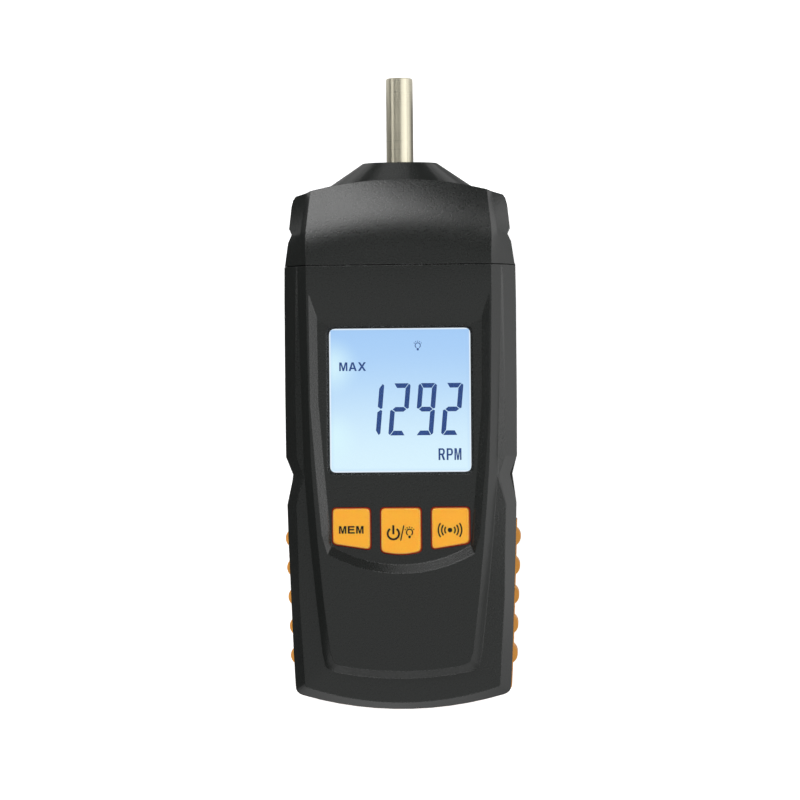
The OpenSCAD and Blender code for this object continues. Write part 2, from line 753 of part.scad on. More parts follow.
function head_row(y, d) =
    let (t = (y - seam_y) / head_l, crease = lookup(t, head_crease_shares) * half_w,
        edge = lookup(t, head_deck_shares) * half_w, side = half_w + (d > 0 ? -d : over),
        crease_z = shoulder_z + shoulder_rise - head_drop(crease, y),
        low_z = side_z - head_drop(half_w, y) * 0.6,
        slope = (crease_z - low_z) / (half_w - crease))
    concat(
        [[side, y, part_z - d], [side, y, low_z - (d > 0 ? d / 2 : over * slope)],
            [crease - d / 2, y, crease_z - d]],
        [for (share = deck_column_shares) let (x = share * (edge - d / 2))
            [x, y, deck_z - d - head_drop(x, y)]]);

module head_solid(d, low_y) {
    loft([for (i = [head_rows : -1 : 0])
        let (row = head_row(low_y + (case_l + over - low_y) * i / head_rows, d))
            concat(row, [for (k = [len(row) - 1 : -1 : 0]) [-row[k].x, row[k].y, row[k].z]])],
        false);
}

module head_cover() {
    low_y = seam_y + seam_gap / 2;
    plan = ring(concat([[seam_side_share * half_w, low_y]], head_half()));
    placed() color([0.12, 0.12, 0.12]) difference() {
        union() {
            difference() {
                intersection() {
                    head_solid(0, low_y - over);
                    plate(plan, part_z, case_t);
                }
                intersection() {
                    head_solid(wall, low_y - 2 * over);
                    plate(shrunk(case_outline, wall), part_z - over, case_t);
                }
            }
            intersection() {
                head_solid(wall / 2, low_y - 2 * over);
                both_sides() translate([each case_screw(3), part_z + seat])
                    cylinder(r = boss_r, h = case_t);
            }
        }
        both_sides() translate([each case_screw(3), part_z - over])
            cylinder(r = pilot_r, h = screw_l + post_floor_z - part_z + 2 * over);
        collar_hole();
    }
}

// Rubber grip: a band round the tail and up both sides, with rounded ribs
module side_grip() {
    rib_r = arc_r(rib_w / 2, rib_h);
    h = part_z - seat - grip_z;
    edge_shares = [for (i = [0 : len(station_shares) - 1]) [station_shares[i], rear_side_shares[i]]];
    placed() color([0.95, 0.45, 0.08]) difference() {
        union() {
            band(shrunk(rear_outline, -grip_proud), shrunk(rear_outline, grip_t), grip_z, h,
                grip_l - seat);
            for (i = [0 : rib_n - 1]) both_sides() {
                y = first_rib_y + i * rib_pitch;
                x = lookup(y / case_l, edge_shares) * half_w + grip_proud + rib_h - rib_r;
                translate([x, y, grip_z]) cylinder(r = rib_r, h = h);
            }
        }
        plate(shrunk(rear_outline, grip_t), grip_z - over, h + 2 * over);
    }
}

module battery_door() {
    placed() color([0.12, 0.12, 0.12]) difference() {
        intersection() {
            door_space(0, door_end_y);
            rear_outer();
        }
        // Thumb grooves across the tail end
        for (i = [0 : groove_n - 1]) translate([-groove_l / 2, door_end_y / 4 + i * groove_pitch, 0])
            rotate([0, 90, 0]) cylinder(r = groove_r, h = groove_l);
    }
}
groove_n = 6;
groove_l = 20;
groove_pitch = 2.4;
groove_r = 0.6;

// Display
lcd_side = 1;
lcd_w = lens_w + 2 * lcd_side;
lcd_l = lens_l + 2 * lcd_side;
lcd_low_y = lens_mid_y - lcd_l / 2;
ledge_l = 3;
glass_share = 0.5;
frame_w = 1;

module slab(w, low_y, high_y, z, h) {
    plate(strip(w / 2, low_y, high_y), z, h);
}

module display_lens() {
    placed() color([0.8, 0.9, 0.95, 0.4]) plate(lens_outline(), lens_under_z, lens_t);
}

module lcd_glass() {
    placed() color([0.7, 0.85, 0.95]) union() {
        slab(lcd_w, lcd_low_y, lcd_low_y + lcd_l, lcd_z + lcd_t * glass_share,
            lcd_t * (1 - glass_share));
        slab(lcd_w, lcd_low_y + ledge_l, lcd_low_y + lcd_l, lcd_z, lcd_t * glass_share);
    }
}

module backlight_panel() {
    placed() color([0.95, 0.97, 1]) slab(lcd_w - 4 * lcd_side, lcd_low_y + ledge_l + lcd_side,
        lcd_low_y + lcd_l, lamp_panel_z, lamp_panel_t - fit);
}

lamp_l = 3;
lamp_w = 1.4;
module backlight_lamps() {
    placed() color([1, 1, 0.9]) for (share = [0.26, 0.8])
        translate([-lcd_w / 2 + fit, lcd_low_y + share * lcd_l - lamp_l / 2, lamp_panel_z])
            cube([lamp_w, lamp_l, lamp_panel_t - 1]);
}

module lcd_frame() {
    placed() color([0.93, 0.93, 0.9]) difference() {
        slab(lcd_w + 2 * (seat + frame_w), lcd_low_y - seat - frame_w,
            lcd_low_y + lcd_l + seat + frame_w, lamp_panel_z, lcd_top_z - lamp_panel_z);
        slab(lcd_w + 2 * seat, lcd_low_y - seat, lcd_low_y + lcd_l + seat, lamp_panel_z - over,
            case_t);
    }
}

module contact_strip() {
    placed() color([0.85, 0.45, 0.55]) slab(lcd_w - 4 * lcd_side, lcd_low_y + seat,
        lcd_low_y + ledge_l - seat, board_top_z, lcd_z + lcd_t * glass_share - board_top_z);
}

// Keys, each with a flange below the panel and a stem on its switch
module key(outline, flange, hollow, centre) {
    floor_z = stem_z;
    edge_z = key_top_z - key_edge;
    difference() {
        union() {
            plate(outline, floor_z, edge_z - floor_z);
            loft([lifted(outline, edge_z), lifted(inset(outline, key_edge * 0.6), key_top_z)],
                false);
            plate(flange, floor_z, key_flange_t);
        }
        plate(hollow, floor_z - over, edge_z - floor_z - key_edge);
    }
    translate([each centre, floor_z]) cylinder(r = plunger_r + key_edge, h = edge_z - floor_z);
}

mid_key_centre = [0, key_top_y - mid_key_l / 2];
side_key_centre = [side_key_x, key_top_y - side_key_l / 2 + side_key_slant / 2];
key_wall = 1.2;

module side_key() {
    key(side_key_outline(), side_key_outline(key_flange), side_key_outline(-key_wall),
        side_key_centre);
}
module mem_key() {
    placed() color([0.97, 0.62, 0.15]) scale_x(-1) side_key();
}
module power_key() {
    placed() color([0.97, 0.62, 0.15]) key(ring(mid_key_outline()),
        ring(mid_key_outline(key_flange)), ring(mid_key_outline(-key_wall)),
        mid_key_centre);
}
module measure_key() {
    placed() color([0.97, 0.62, 0.15]) side_key();
}

module plunger(centre) {
    placed() color([0.15, 0.15, 0.15]) translate([each centre, switch_top_z - plunger_in])
        cylinder(r = plunger_r, h = stem_z - switch_top_z + plunger_in);
}
module mem_plunger() {
    plunger([-side_key_centre.x, side_key_centre.y]);
}
module power_plunger() {
    plunger(mid_key_centre);
}
module measure_plunger() {
    plunger(side_key_centre);
}

switch_centres = [[-side_key_centre.x, side_key_centre.y], mid_key_centre, side_key_centre];
module switch_bodies() {
    placed() color([0.2, 0.2, 0.22]) for (c = switch_centres) translate([each c, board_top_z])
        difference() {
            translate([-switch_w / 2, -switch_w / 2, 0]) cube([switch_w, switch_w, switch_h]);
            translate([0, 0, switch_h - plunger_in - 2 * key_travel])
                cylinder(r = plunger_r + seat, h = switch_h);
        }
}

// Main board and what is soldered to it
module main_board() {
    low = board_low_y;
    high = board_end_y;
    placed() color([0.05, 0.35, 0.2]) difference() {
        plate(rounded(strip(board_hw, low, high), 2), board_z, board_t);
        for (p = board_posts) both_sides() translate([each p, board_z - over])
            cylinder(r = small_r + seat, h = board_t + 2 * over);
        for (i = [1 : 2]) both_sides() translate([each case_screw(i), board_z - over])
            cylinder(r = post_r, h = board_t + 2 * over);
    }
}

chip_w = 12;
chip_t = 1.6;
pin_w = 0.4;
pin_l = 1;
module chip(centre, w, l, t) {
    translate([centre.x - w / 2, centre.y - l / 2, board_z - t]) cube([w, l, t]);
}
module controller_chip() {
    centre = [0, lens_mid_y];
    pin_n = 11;
    placed() color([0.1, 0.1, 0.1]) {
        chip(centre, chip_w, chip_w, chip_t);
        for (a = [0 : 90 : 270], i = [0 : pin_n - 1])
            translate([each centre, board_z - chip_t / 2]) rotate(a)
                translate([chip_w / 2, (i - (pin_n - 1) / 2) * chip_w / (pin_n + 1) - pin_w / 2, 0])
                    cube([pin_l, pin_w, chip_t / 2]);
    }
}

crystal_w = 4;
crystal_l = 10;
crystal_t = 3;
module timing_crystal() {
    placed() color([0.8, 0.8, 0.82]) plate(
        rounded(shifted(box_points(crystal_w, crystal_l), [-board_hw / 2, lens_mid_y]),
            crystal_w / 2.2), board_z - crystal_t, crystal_t);
}

// Places of the small parts, as shares of the board's half-width and length, and their sizes
part_shares = [[0.45, 0.30], [0.45, 0.36], [0.6, 0.30], [0.6, 0.36], [-0.55, 0.48], [-0.35, 0.48],
    [0.5, 0.62], [0.65, 0.62], [0.3, 0.18], [-0.3, 0.18], [0.15, 0.18], [-0.15, 0.18]];
part_w = 2;
part_l = 1.2;
part_t = 0.8;
cap_r = 3;
cap_h = 5;
module board_components() {
    placed() color([0.75, 0.65, 0.5]) {
        for (p = part_shares) chip([p.x * board_hw, board_low_y + p.y * (board_end_y - board_low_y)],
            part_w, part_l, part_t);
        for (side = [-1, 1]) translate([side * board_hw / 2, lcd_low_y, board_z - cap_h])
            cylinder(r = cap_r, h = cap_h);
    }
}

// Spindle and its bearings
module spindle() {
    chamfer = 0.3;
    placed() color([0.72, 0.70, 0.66]) difference() {
        union() {
            along_axis(shaft_end_y)
                cylinder(r = journal_r, h = front_bearing_y + bearing_w - shaft_end_y);
            along_axis(front_bearing_y + bearing_w)
                cylinder(r = shank_r, h = tip_y - chamfer - front_bearing_y - bearing_w);
            // Thicker outside the collar
            along_axis(collar_y + shoulder_out)
                cylinder(r = spindle_r, h = spindle_out - shoulder_out - chamfer);
            along_axis(tip_y - chamfer)
                cylinder(r1 = spindle_r, r2 = spindle_r - chamfer, h = chamfer);
        }
        along_axis(tip_y - socket_l) cylinder(r = socket_d / 2, h = socket_l + over);
        along_axis(clip_y - fit / 2) difference() {
            cylinder(r = journal_r + over, h = clip_t + fit);
            cylinder(r = journal_r - clip_depth, h = clip_t + fit);
        }
    }
}

bearing_pitch_r = (journal_r + bearing_d / 2) / 2;
ball_r = ball_d / 2;
race_gap = 1.8;
race_fit = 0.01;
cage_w = 1;
cage_l = 3.4;

// Ring of a bearing between two radii, with the groove that its balls run in
module race(r1, r2, y) {
    placed() color([0.8, 0.8, 0.82]) along_axis(y) rotate_extrude() difference() {
        translate([r1, 0]) square([r2 - r1, bearing_w]);
        translate([bearing_pitch_r, bearing_w / 2]) circle(r = ball_r + fit);
    }
}
module ball_set(y) {
    ball_turn = 360 / ball_n;
    placed() color([0.85, 0.82, 0.6]) along_axis(y + bearing_w / 2) {
        difference() {
            translate([0, 0, -cage_l / 2]) rotate_extrude()
                translate([bearing_pitch_r - cage_w / 2, 0]) square([cage_w, cage_l]);
            for (i = [0 : ball_n - 1]) rotate(i * ball_turn)
                translate([bearing_pitch_r - cage_w, 0, 0]) rotate([0, 90, 0])
                    cylinder(r = ball_r + fit, h = 2 * cage_w);
        }
        for (i = [0 : ball_n - 1]) rotate(i * ball_turn) translate([bearing_pitch_r, 0, 0])
            sphere(r = ball_r);
    }
}
outer_race_r = bearing_pitch_r + race_gap / 2;
inner_race_r = bearing_pitch_r - race_gap / 2;
module front_outer_ring() {
    race(outer_race_r, bearing_d / 2, front_bearing_y);
}
module front_ball_set() {
    ball_set(front_bearing_y);
}
module front_inner_ring() {
    race(journal_r + race_fit, inner_race_r, front_bearing_y);
}
module rear_outer_ring() {
    race(outer_race_r, bearing_d / 2, rear_bearing_y);
}
module rear_ball_set() {
    ball_set(rear_bearing_y);
}
module rear_inner_ring() {
    race(journal_r + race_fit, inner_race_r, rear_bearing_y);
}

module bearing_spacer() {
    placed() color([0.7, 0.7, 0.72]) along_axis(rear_bearing_y + bearing_w) difference() {
        cylinder(r = inner_race_r - fit, h = bearing_space);
        translate([0, 0, -over]) cylinder(r = journal_r + race_fit, h = bearing_space + 2 * over);
    }
}

module spindle_clip() {
    placed() color([0.25, 0.25, 0.27]) along_axis(clip_y) difference() {
        cylinder(r = journal_r + clip_rim, h = clip_t);
        translate([0, 0, -over]) cylinder(r = journal_r - clip_depth + race_fit,
            h = clip_t + 2 * over);
        translate([-journal_r + clip_depth, -case_w, -over])
            cube([2 * (journal_r - clip_depth), case_w, clip_t + 2 * over]);
    }
}

module encoder_disc() {
    slot_turn = 360 / slot_n;
    slot_low = hub_r + 1.2;
    slot_l = disc_d / 2 - 0.9 - slot_low;
    slot_w = 1.4;
    placed() color([0.15, 0.15, 0.17]) along_axis(disc_y) difference() {
        union() {
            cylinder(r = disc_d / 2, h = disc_t);
            cylinder(r = hub_r, h = clip_y - fit - disc_y);
        }
        translate([0, 0, -over]) cylinder(r = journal_r + race_fit, h = clip_y - disc_y + over);
        for (i = [0 : slot_n - 1]) rotate(i * slot_turn) translate([slot_low, -slot_w / 2, -over])
            cube([slot_l, slot_w, disc_t + 2 * over]);
    }
}

module bearing_carrier() {
    l = carrier_front_y - carrier_back_y;
    placed() color([0.55, 0.56, 0.58]) difference() {
        union() {
            along_axis(carrier_back_y) cylinder(r = carrier_r, h = l);
            for (y = lug_ys) plate(
                rounded(shifted(box_points(2 * (lug_x + boss_r), 2 * boss_r), [0, y]), boss_r / 2),
                lug_z, lug_t);
        }
        along_axis(carrier_back_y - over)
            cylinder(r = bearing_d / 2 + race_fit, h = l - carrier_lip + over);
        along_axis(carrier_back_y) cylinder(r = outer_race_r + fit, h = l + over);
        for (y = lug_ys) both_sides() translate([lug_x, y, lug_z - over])
            cylinder(r = small_r + seat, h = lug_t + 2 * over);
    }
}

// Sensor
module optical_sensor() {
    low_y = disc_mid_y - sensor_slot / 2 - sensor_arm;
    high_y = disc_mid_y + sensor_slot / 2 + sensor_arm;
    placed() color([0.1, 0.1, 0.12]) difference() {
        slab(sensor_w, low_y, high_y, sensor_board_top_z, sensor_base + sensor_arm_h);
        slab(sensor_w + 2 * over, low_y + sensor_arm, high_y - sensor_arm,
            sensor_board_top_z + sensor_base, case_t);
    }
}

module sensor_board() {
    placed() color([0.05, 0.35, 0.2]) difference() {
        slab(sensor_board_w, sensor_board_end_y - sensor_board_l, sensor_board_end_y,
            sensor_board_z, board_t);
        for (p = sensor_posts) both_sides() translate([each p, sensor_board_z - over])
            cylinder(r = small_r + seat, h = board_t + 2 * over);
    }
}

plug_w = 9;
plug_l = 4;
plug_h = 3;
ribbon_w = 7;
ribbon_t = 0.6;
plug_in = 3;
plug_back = 7;
ribbon_low = [sensor_board_end_y - sensor_board_l + plug_in, sensor_board_top_z + plug_h];
ribbon_high = [ribbon_low.x - plug_back, board_z - plug_h];

function cubic(p, steps) =
    [for (i = [0 : steps]) let (t = i / steps)
        p[0] * pow(1 - t, 3) + p[1] * 3 * t * pow(1 - t, 2) + p[2] * 3 * t * t * (1 - t)
            + p[3] * pow(t, 3)];

module ribbon_plugs() {
    placed() color([0.92, 0.9, 0.85]) {
        slab(plug_w, ribbon_low.x - plug_l / 2, ribbon_low.x + plug_l / 2, sensor_board_top_z,
            plug_h);
        slab(plug_w, ribbon_high.x - plug_l / 2, ribbon_high.x + plug_l / 2, board_z - plug_h,
            plug_h);
    }
}

module sensor_ribbon() {
    rise = (ribbon_high.y - ribbon_low.y) * 0.7;
    line = cubic([ribbon_low, ribbon_low + [0, rise], ribbon_high - [0, rise], ribbon_high], 12);
    last = len(line) - 1;
    sides = [for (i = [0 : last])
        let (t = i * (last - i) > 0 ? unit(line[i + 1] - line[i - 1]) : [0, 1])
            [-t.y, t.x] * ribbon_t / 2];
    placed() color([0.6, 0.6, 0.65]) translate([-ribbon_w / 2, 0, 0]) rotate([90, 0, 90])
        linear_extrude(height = ribbon_w) polygon(concat(
            [for (i = [0 : last]) line[i] + sides[i]],
            [for (i = [last : -1 : 0]) line[i] - sides[i]]));
}

// Batteries and their contacts. The middle cell lies the other way round.
cell_button_r = 1.9;
cell_button_l = 0.8;
cell_ways = [1, -1, 1];
cell_low_y = comp_low_y + contact_t + spring_l;
function cell_x(i) = (i - 1) * cell_pitch;

// Turns a child that points to the head so that it points the other way in the compartment
module cell_way(i) {
    if (cell_ways[i] > 0) children();
    else translate([0, comp_low_y + comp_end_y, 0]) mirror([0, 1, 0]) children();
}

module battery_cells() {
    placed() color([0.2, 0.45, 0.3]) for (i = [0 : 2]) translate([cell_x(i), 0, 0]) cell_way(i)
        translate([0, cell_low_y, cell_z]) rotate([-90, 0, 0]) union() {
            cylinder(r = cell_d / 2, h = cell_l - cell_button_l);
            cylinder(r = cell_button_r, h = cell_l);
        }
}

spring_turns = 4;
spring_steps = 8;
spring_wire_r = 0.35;
spring_low_r = 3.8;
spring_high_r = 2.4;
module contact_springs() {
    n = spring_turns * spring_steps;
    rise = spring_l - 2 * spring_wire_r - 2 * seat;
    coil = [for (i = [0 : n]) let (r = spring_low_r + (spring_high_r - spring_low_r) * i / n,
        a = 360 * i / spring_steps)
        [r * cos(a), spring_wire_r + seat + rise * i / n, r * sin(a)]];
    placed() color([0.8, 0.8, 0.8]) for (i = [0 : 2]) translate([cell_x(i), 0, 0]) cell_way(i)
        translate([0, comp_low_y + contact_t, cell_z]) swept(coil, spring_wire_r, 6);
}

contact_h = 8;
module contact_plates() {
    w = cell_pitch - 1.6;
    z = cell_z - contact_h / 2;
    placed() color([0.85, 0.83, 0.75]) {
        // One pole and its tab at the head end, and a bridge over the other two cells
        translate([cell_x(0) - w / 2, comp_end_y - contact_t, z])
            cube([w, contact_t, contact_h]);
        translate([cell_x(0) - tab_w / 2, comp_end_y - contact_t, tab_z])
            cube([tab_w, comp_wall + contact_t + 2, contact_t]);
        translate([cell_x(1) - w / 2, comp_end_y - contact_t, z])
            cube([w + cell_pitch, contact_t, contact_h]);
        // A bridge and the other pole at the tail end
        translate([cell_x(0) - w / 2, comp_low_y, z]) cube([w + cell_pitch, contact_t, contact_h]);
        translate([cell_x(2) - w / 2, comp_low_y, z]) cube([w, contact_t, contact_h]);
        translate([cell_x(2) + w / 4, comp_low_y, tab_z])
            cube([comp_hw + comp_wall + 1.6 - cell_x(2) - w / 4, contact_t, tab_w]);
    }
}

lead_r = 0.6;
lead_bend = 5.5;
// Share of the longer lead's run that climbs to the board
climb_share = 0.59;
module battery_leads() {
    head_tab = [cell_x(0), comp_end_y + comp_wall + 2, tab_z + contact_t + lead_r];
    tail_tab = [comp_hw + comp_wall + 1.2, comp_low_y + contact_t + lead_r, tab_z + tab_w / 2];
    run_z = comp_top_z + comp_wall + lead_r;
    head_pad = [head_tab.x, head_tab.y + lead_bend, board_z - 2 * seat];
    tail_pad = [tail_tab.x, board_low_y + 1.5 * lead_bend, board_z - 2 * seat];
    run_start = [tail_tab.x, tail_tab.y + 1.5 * lead_bend, run_z];
    climb_l = (tail_pad.y - run_start.y) * climb_share;
    run_end = [tail_tab.x, tail_pad.y - climb_l, run_z];
    placed() color([0.7, 0.1, 0.1]) {
        swept(cubic([head_tab, head_tab + [0, lead_bend, 0], head_pad - [0, 0, lead_bend], head_pad],
            10), lead_r);
        swept(concat(
            cubic([tail_tab, tail_tab + [0, lead_bend, 0], run_start - [0, lead_bend, 0], run_start],
                5),
            cubic([run_end, run_end + [0, climb_l / 2, 0], tail_pad - [0, 0, lead_bend], tail_pad],
                8)), lead_r);
    }
}

// Fasteners
module case_screws() {
    placed() color([0.35, 0.35, 0.37]) for (i = [0 : 3]) both_sides()
        translate([each case_screw(i), post_floor_z]) screw(screw_r, screw_l, head_r, head_h);
}
module carrier_screws() {
    placed() color([0.7, 0.7, 0.72]) for (y = lug_ys) both_sides()
        translate([lug_x, y, lug_z + lug_t]) mirror([0, 0, 1])
            screw(small_r, small_l, small_head_r, small_head_h);
}
module board_screws() {
    placed() color([0.7, 0.7, 0.72]) for (p = board_posts) both_sides()
        translate([each p, board_z]) screw(small_r, small_l, small_head_r, small_head_h);
}
module sensor_screws() {
    placed() color([0.7, 0.7, 0.72]) for (p = sensor_posts) both_sides()
        translate([each p, sensor_board_top_z]) mirror([0, 0, 1])
            screw(small_r, sensor_board_top_z - back_wall - seat, small_head_r, small_head_h);
}

front_shell();
rear_shell();
head_cover();
nose_collar();
side_grip();
battery_door();
display_lens();
lcd_glass();
lcd_frame();
backlight_panel();
backlight_lamps();
contact_strip();
mem_key();
power_key();
measure_key();
mem_plunger();
power_plunger();
measure_plunger();
switch_bodies();
main_board();
controller_chip();
timing_crystal();
board_components();
spindle();
front_outer_ring();
front_ball_set();
front_inner_ring();
rear_outer_ring();
rear_ball_set();
rear_inner_ring();
bearing_carrier();
bearing_spacer();
spindle_clip();
encoder_disc();
optical_sensor();
sensor_board();
sensor_ribbon();
ribbon_plugs();
felt_seal();
battery_cells();
contact_springs();
contact_plates();
battery_leads();
case_screws();
carrier_screws();
board_screws();
sensor_screws();
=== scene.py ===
"""Looks of a handheld contact tachometer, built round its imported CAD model.

The CAD nodes keep their shapes and get procedural finishes. What is only printed or lit on
them (the display's figures, the signs on the keys) is added as thin pieces.
Lengths are in metres, in the row frame: +Y from the tail to the spindle's tip, +Z from the
back to the keys.
"""

from __future__ import annotations

import logging
import math
from dataclasses import dataclass, field
from enum import Enum
from typing import Any, Sequence

import bpy
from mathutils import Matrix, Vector

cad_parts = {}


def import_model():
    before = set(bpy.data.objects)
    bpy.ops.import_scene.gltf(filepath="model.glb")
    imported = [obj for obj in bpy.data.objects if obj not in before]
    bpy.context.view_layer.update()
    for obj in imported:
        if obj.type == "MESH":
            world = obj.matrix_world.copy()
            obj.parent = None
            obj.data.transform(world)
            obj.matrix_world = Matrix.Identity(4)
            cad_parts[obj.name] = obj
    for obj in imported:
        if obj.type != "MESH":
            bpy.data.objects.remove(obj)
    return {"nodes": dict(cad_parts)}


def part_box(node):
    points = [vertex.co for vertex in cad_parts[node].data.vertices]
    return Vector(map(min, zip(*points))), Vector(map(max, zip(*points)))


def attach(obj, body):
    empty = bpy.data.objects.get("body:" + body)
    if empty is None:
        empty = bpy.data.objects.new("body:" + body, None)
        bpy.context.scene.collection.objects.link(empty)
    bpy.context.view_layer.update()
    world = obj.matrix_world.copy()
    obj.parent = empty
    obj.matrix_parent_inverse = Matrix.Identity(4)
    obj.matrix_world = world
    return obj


MM = 0.001
LOG = logging.getLogger("tachometer")
Colour = tuple[float, float, float]
Point = tuple[float, float]
Place = tuple[float, float, float]
# Left side, top, right side and bottom, in the photograph's pixels
Box = tuple[float, float, float, float]
Socket = bpy.types.NodeSocket
Nodes = dict[str, bpy.types.Object]
BLACKEST: Colour = (0.0, 0.0, 0.0)
WHITEST: Colour = (1.0, 1.0, 1.0)
# The materials made so far, by the names of their finishes
MADE: dict[str, bpy.types.Material] = {}


def top_of(node: str) -> float:
    """Returns the height of a CAD node's top, in metres."""
    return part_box(node)[1][2]


class Operation(Enum):
    """Arithmetic that a Math node can do."""

    ADD = "ADD"
    SUBTRACT = "SUBTRACT"
    MULTIPLY = "MULTIPLY"
    POWER = "POWER"
    SINE = "SINE"
    ABSOLUTE = "ABSOLUTE"
    MINIMUM = "MINIMUM"
    MAXIMUM = "MAXIMUM"


@dataclass(frozen=True)
class Value:
    """A number that varies over a surface: a socket of a shader tree.

    Args:
        tree: The tree that the socket belongs to.
        socket: The output socket that carries the number.
    """

    tree: Tree
    socket: Socket

    def _with(self, operation: Operation, *others: Value | float, first: bool = True) -> Value:
        """Returns the result of a Math node, with this value as its first or last operand."""
        return self.tree.math(operation, *((self, *others) if first else (*others, self)))

    def __add__(self, other: Value | float) -> Value:
        return self._with(Operation.ADD, other)

    __radd__ = __add__

    def __sub__(self, other: Value | float) -> Value:
        return self._with(Operation.SUBTRACT, other)

    def __rsub__(self, other: Value | float) -> Value:
        return self._with(Operation.SUBTRACT, other, first=False)

    def __mul__(self, other: Value | float) -> Value:
        return self._with(Operation.MULTIPLY, other)

    __rmul__ = __mul__

    def __pow__(self, other: Value | float) -> Value:
        return self._with(Operation.POWER, other)

    def __neg__(self) -> Value:
        return self * -1.0

    def sine(self) -> Value:
        """Returns the sine of the value."""
        return self._with(Operation.SINE)

    def absolute(self) -> Value:
        """Returns the value without its sign."""
        return self._with(Operation.ABSOLUTE)

    def most(self, other: Value | float) -> Value:
        """Returns the larger of the value and another."""
        return self._with(Operation.MAXIMUM, other)

    def least(self, other: Value | float) -> Value:
        """Returns the smaller of the value and another."""
        return self._with(Operation.MINIMUM, other)

    def clipped(self) -> Value:
        """Returns the value kept between 0 and 1."""
        return self.most(0.0).least(1.0)


Link = Value | Socket | float | int | Sequence[float]


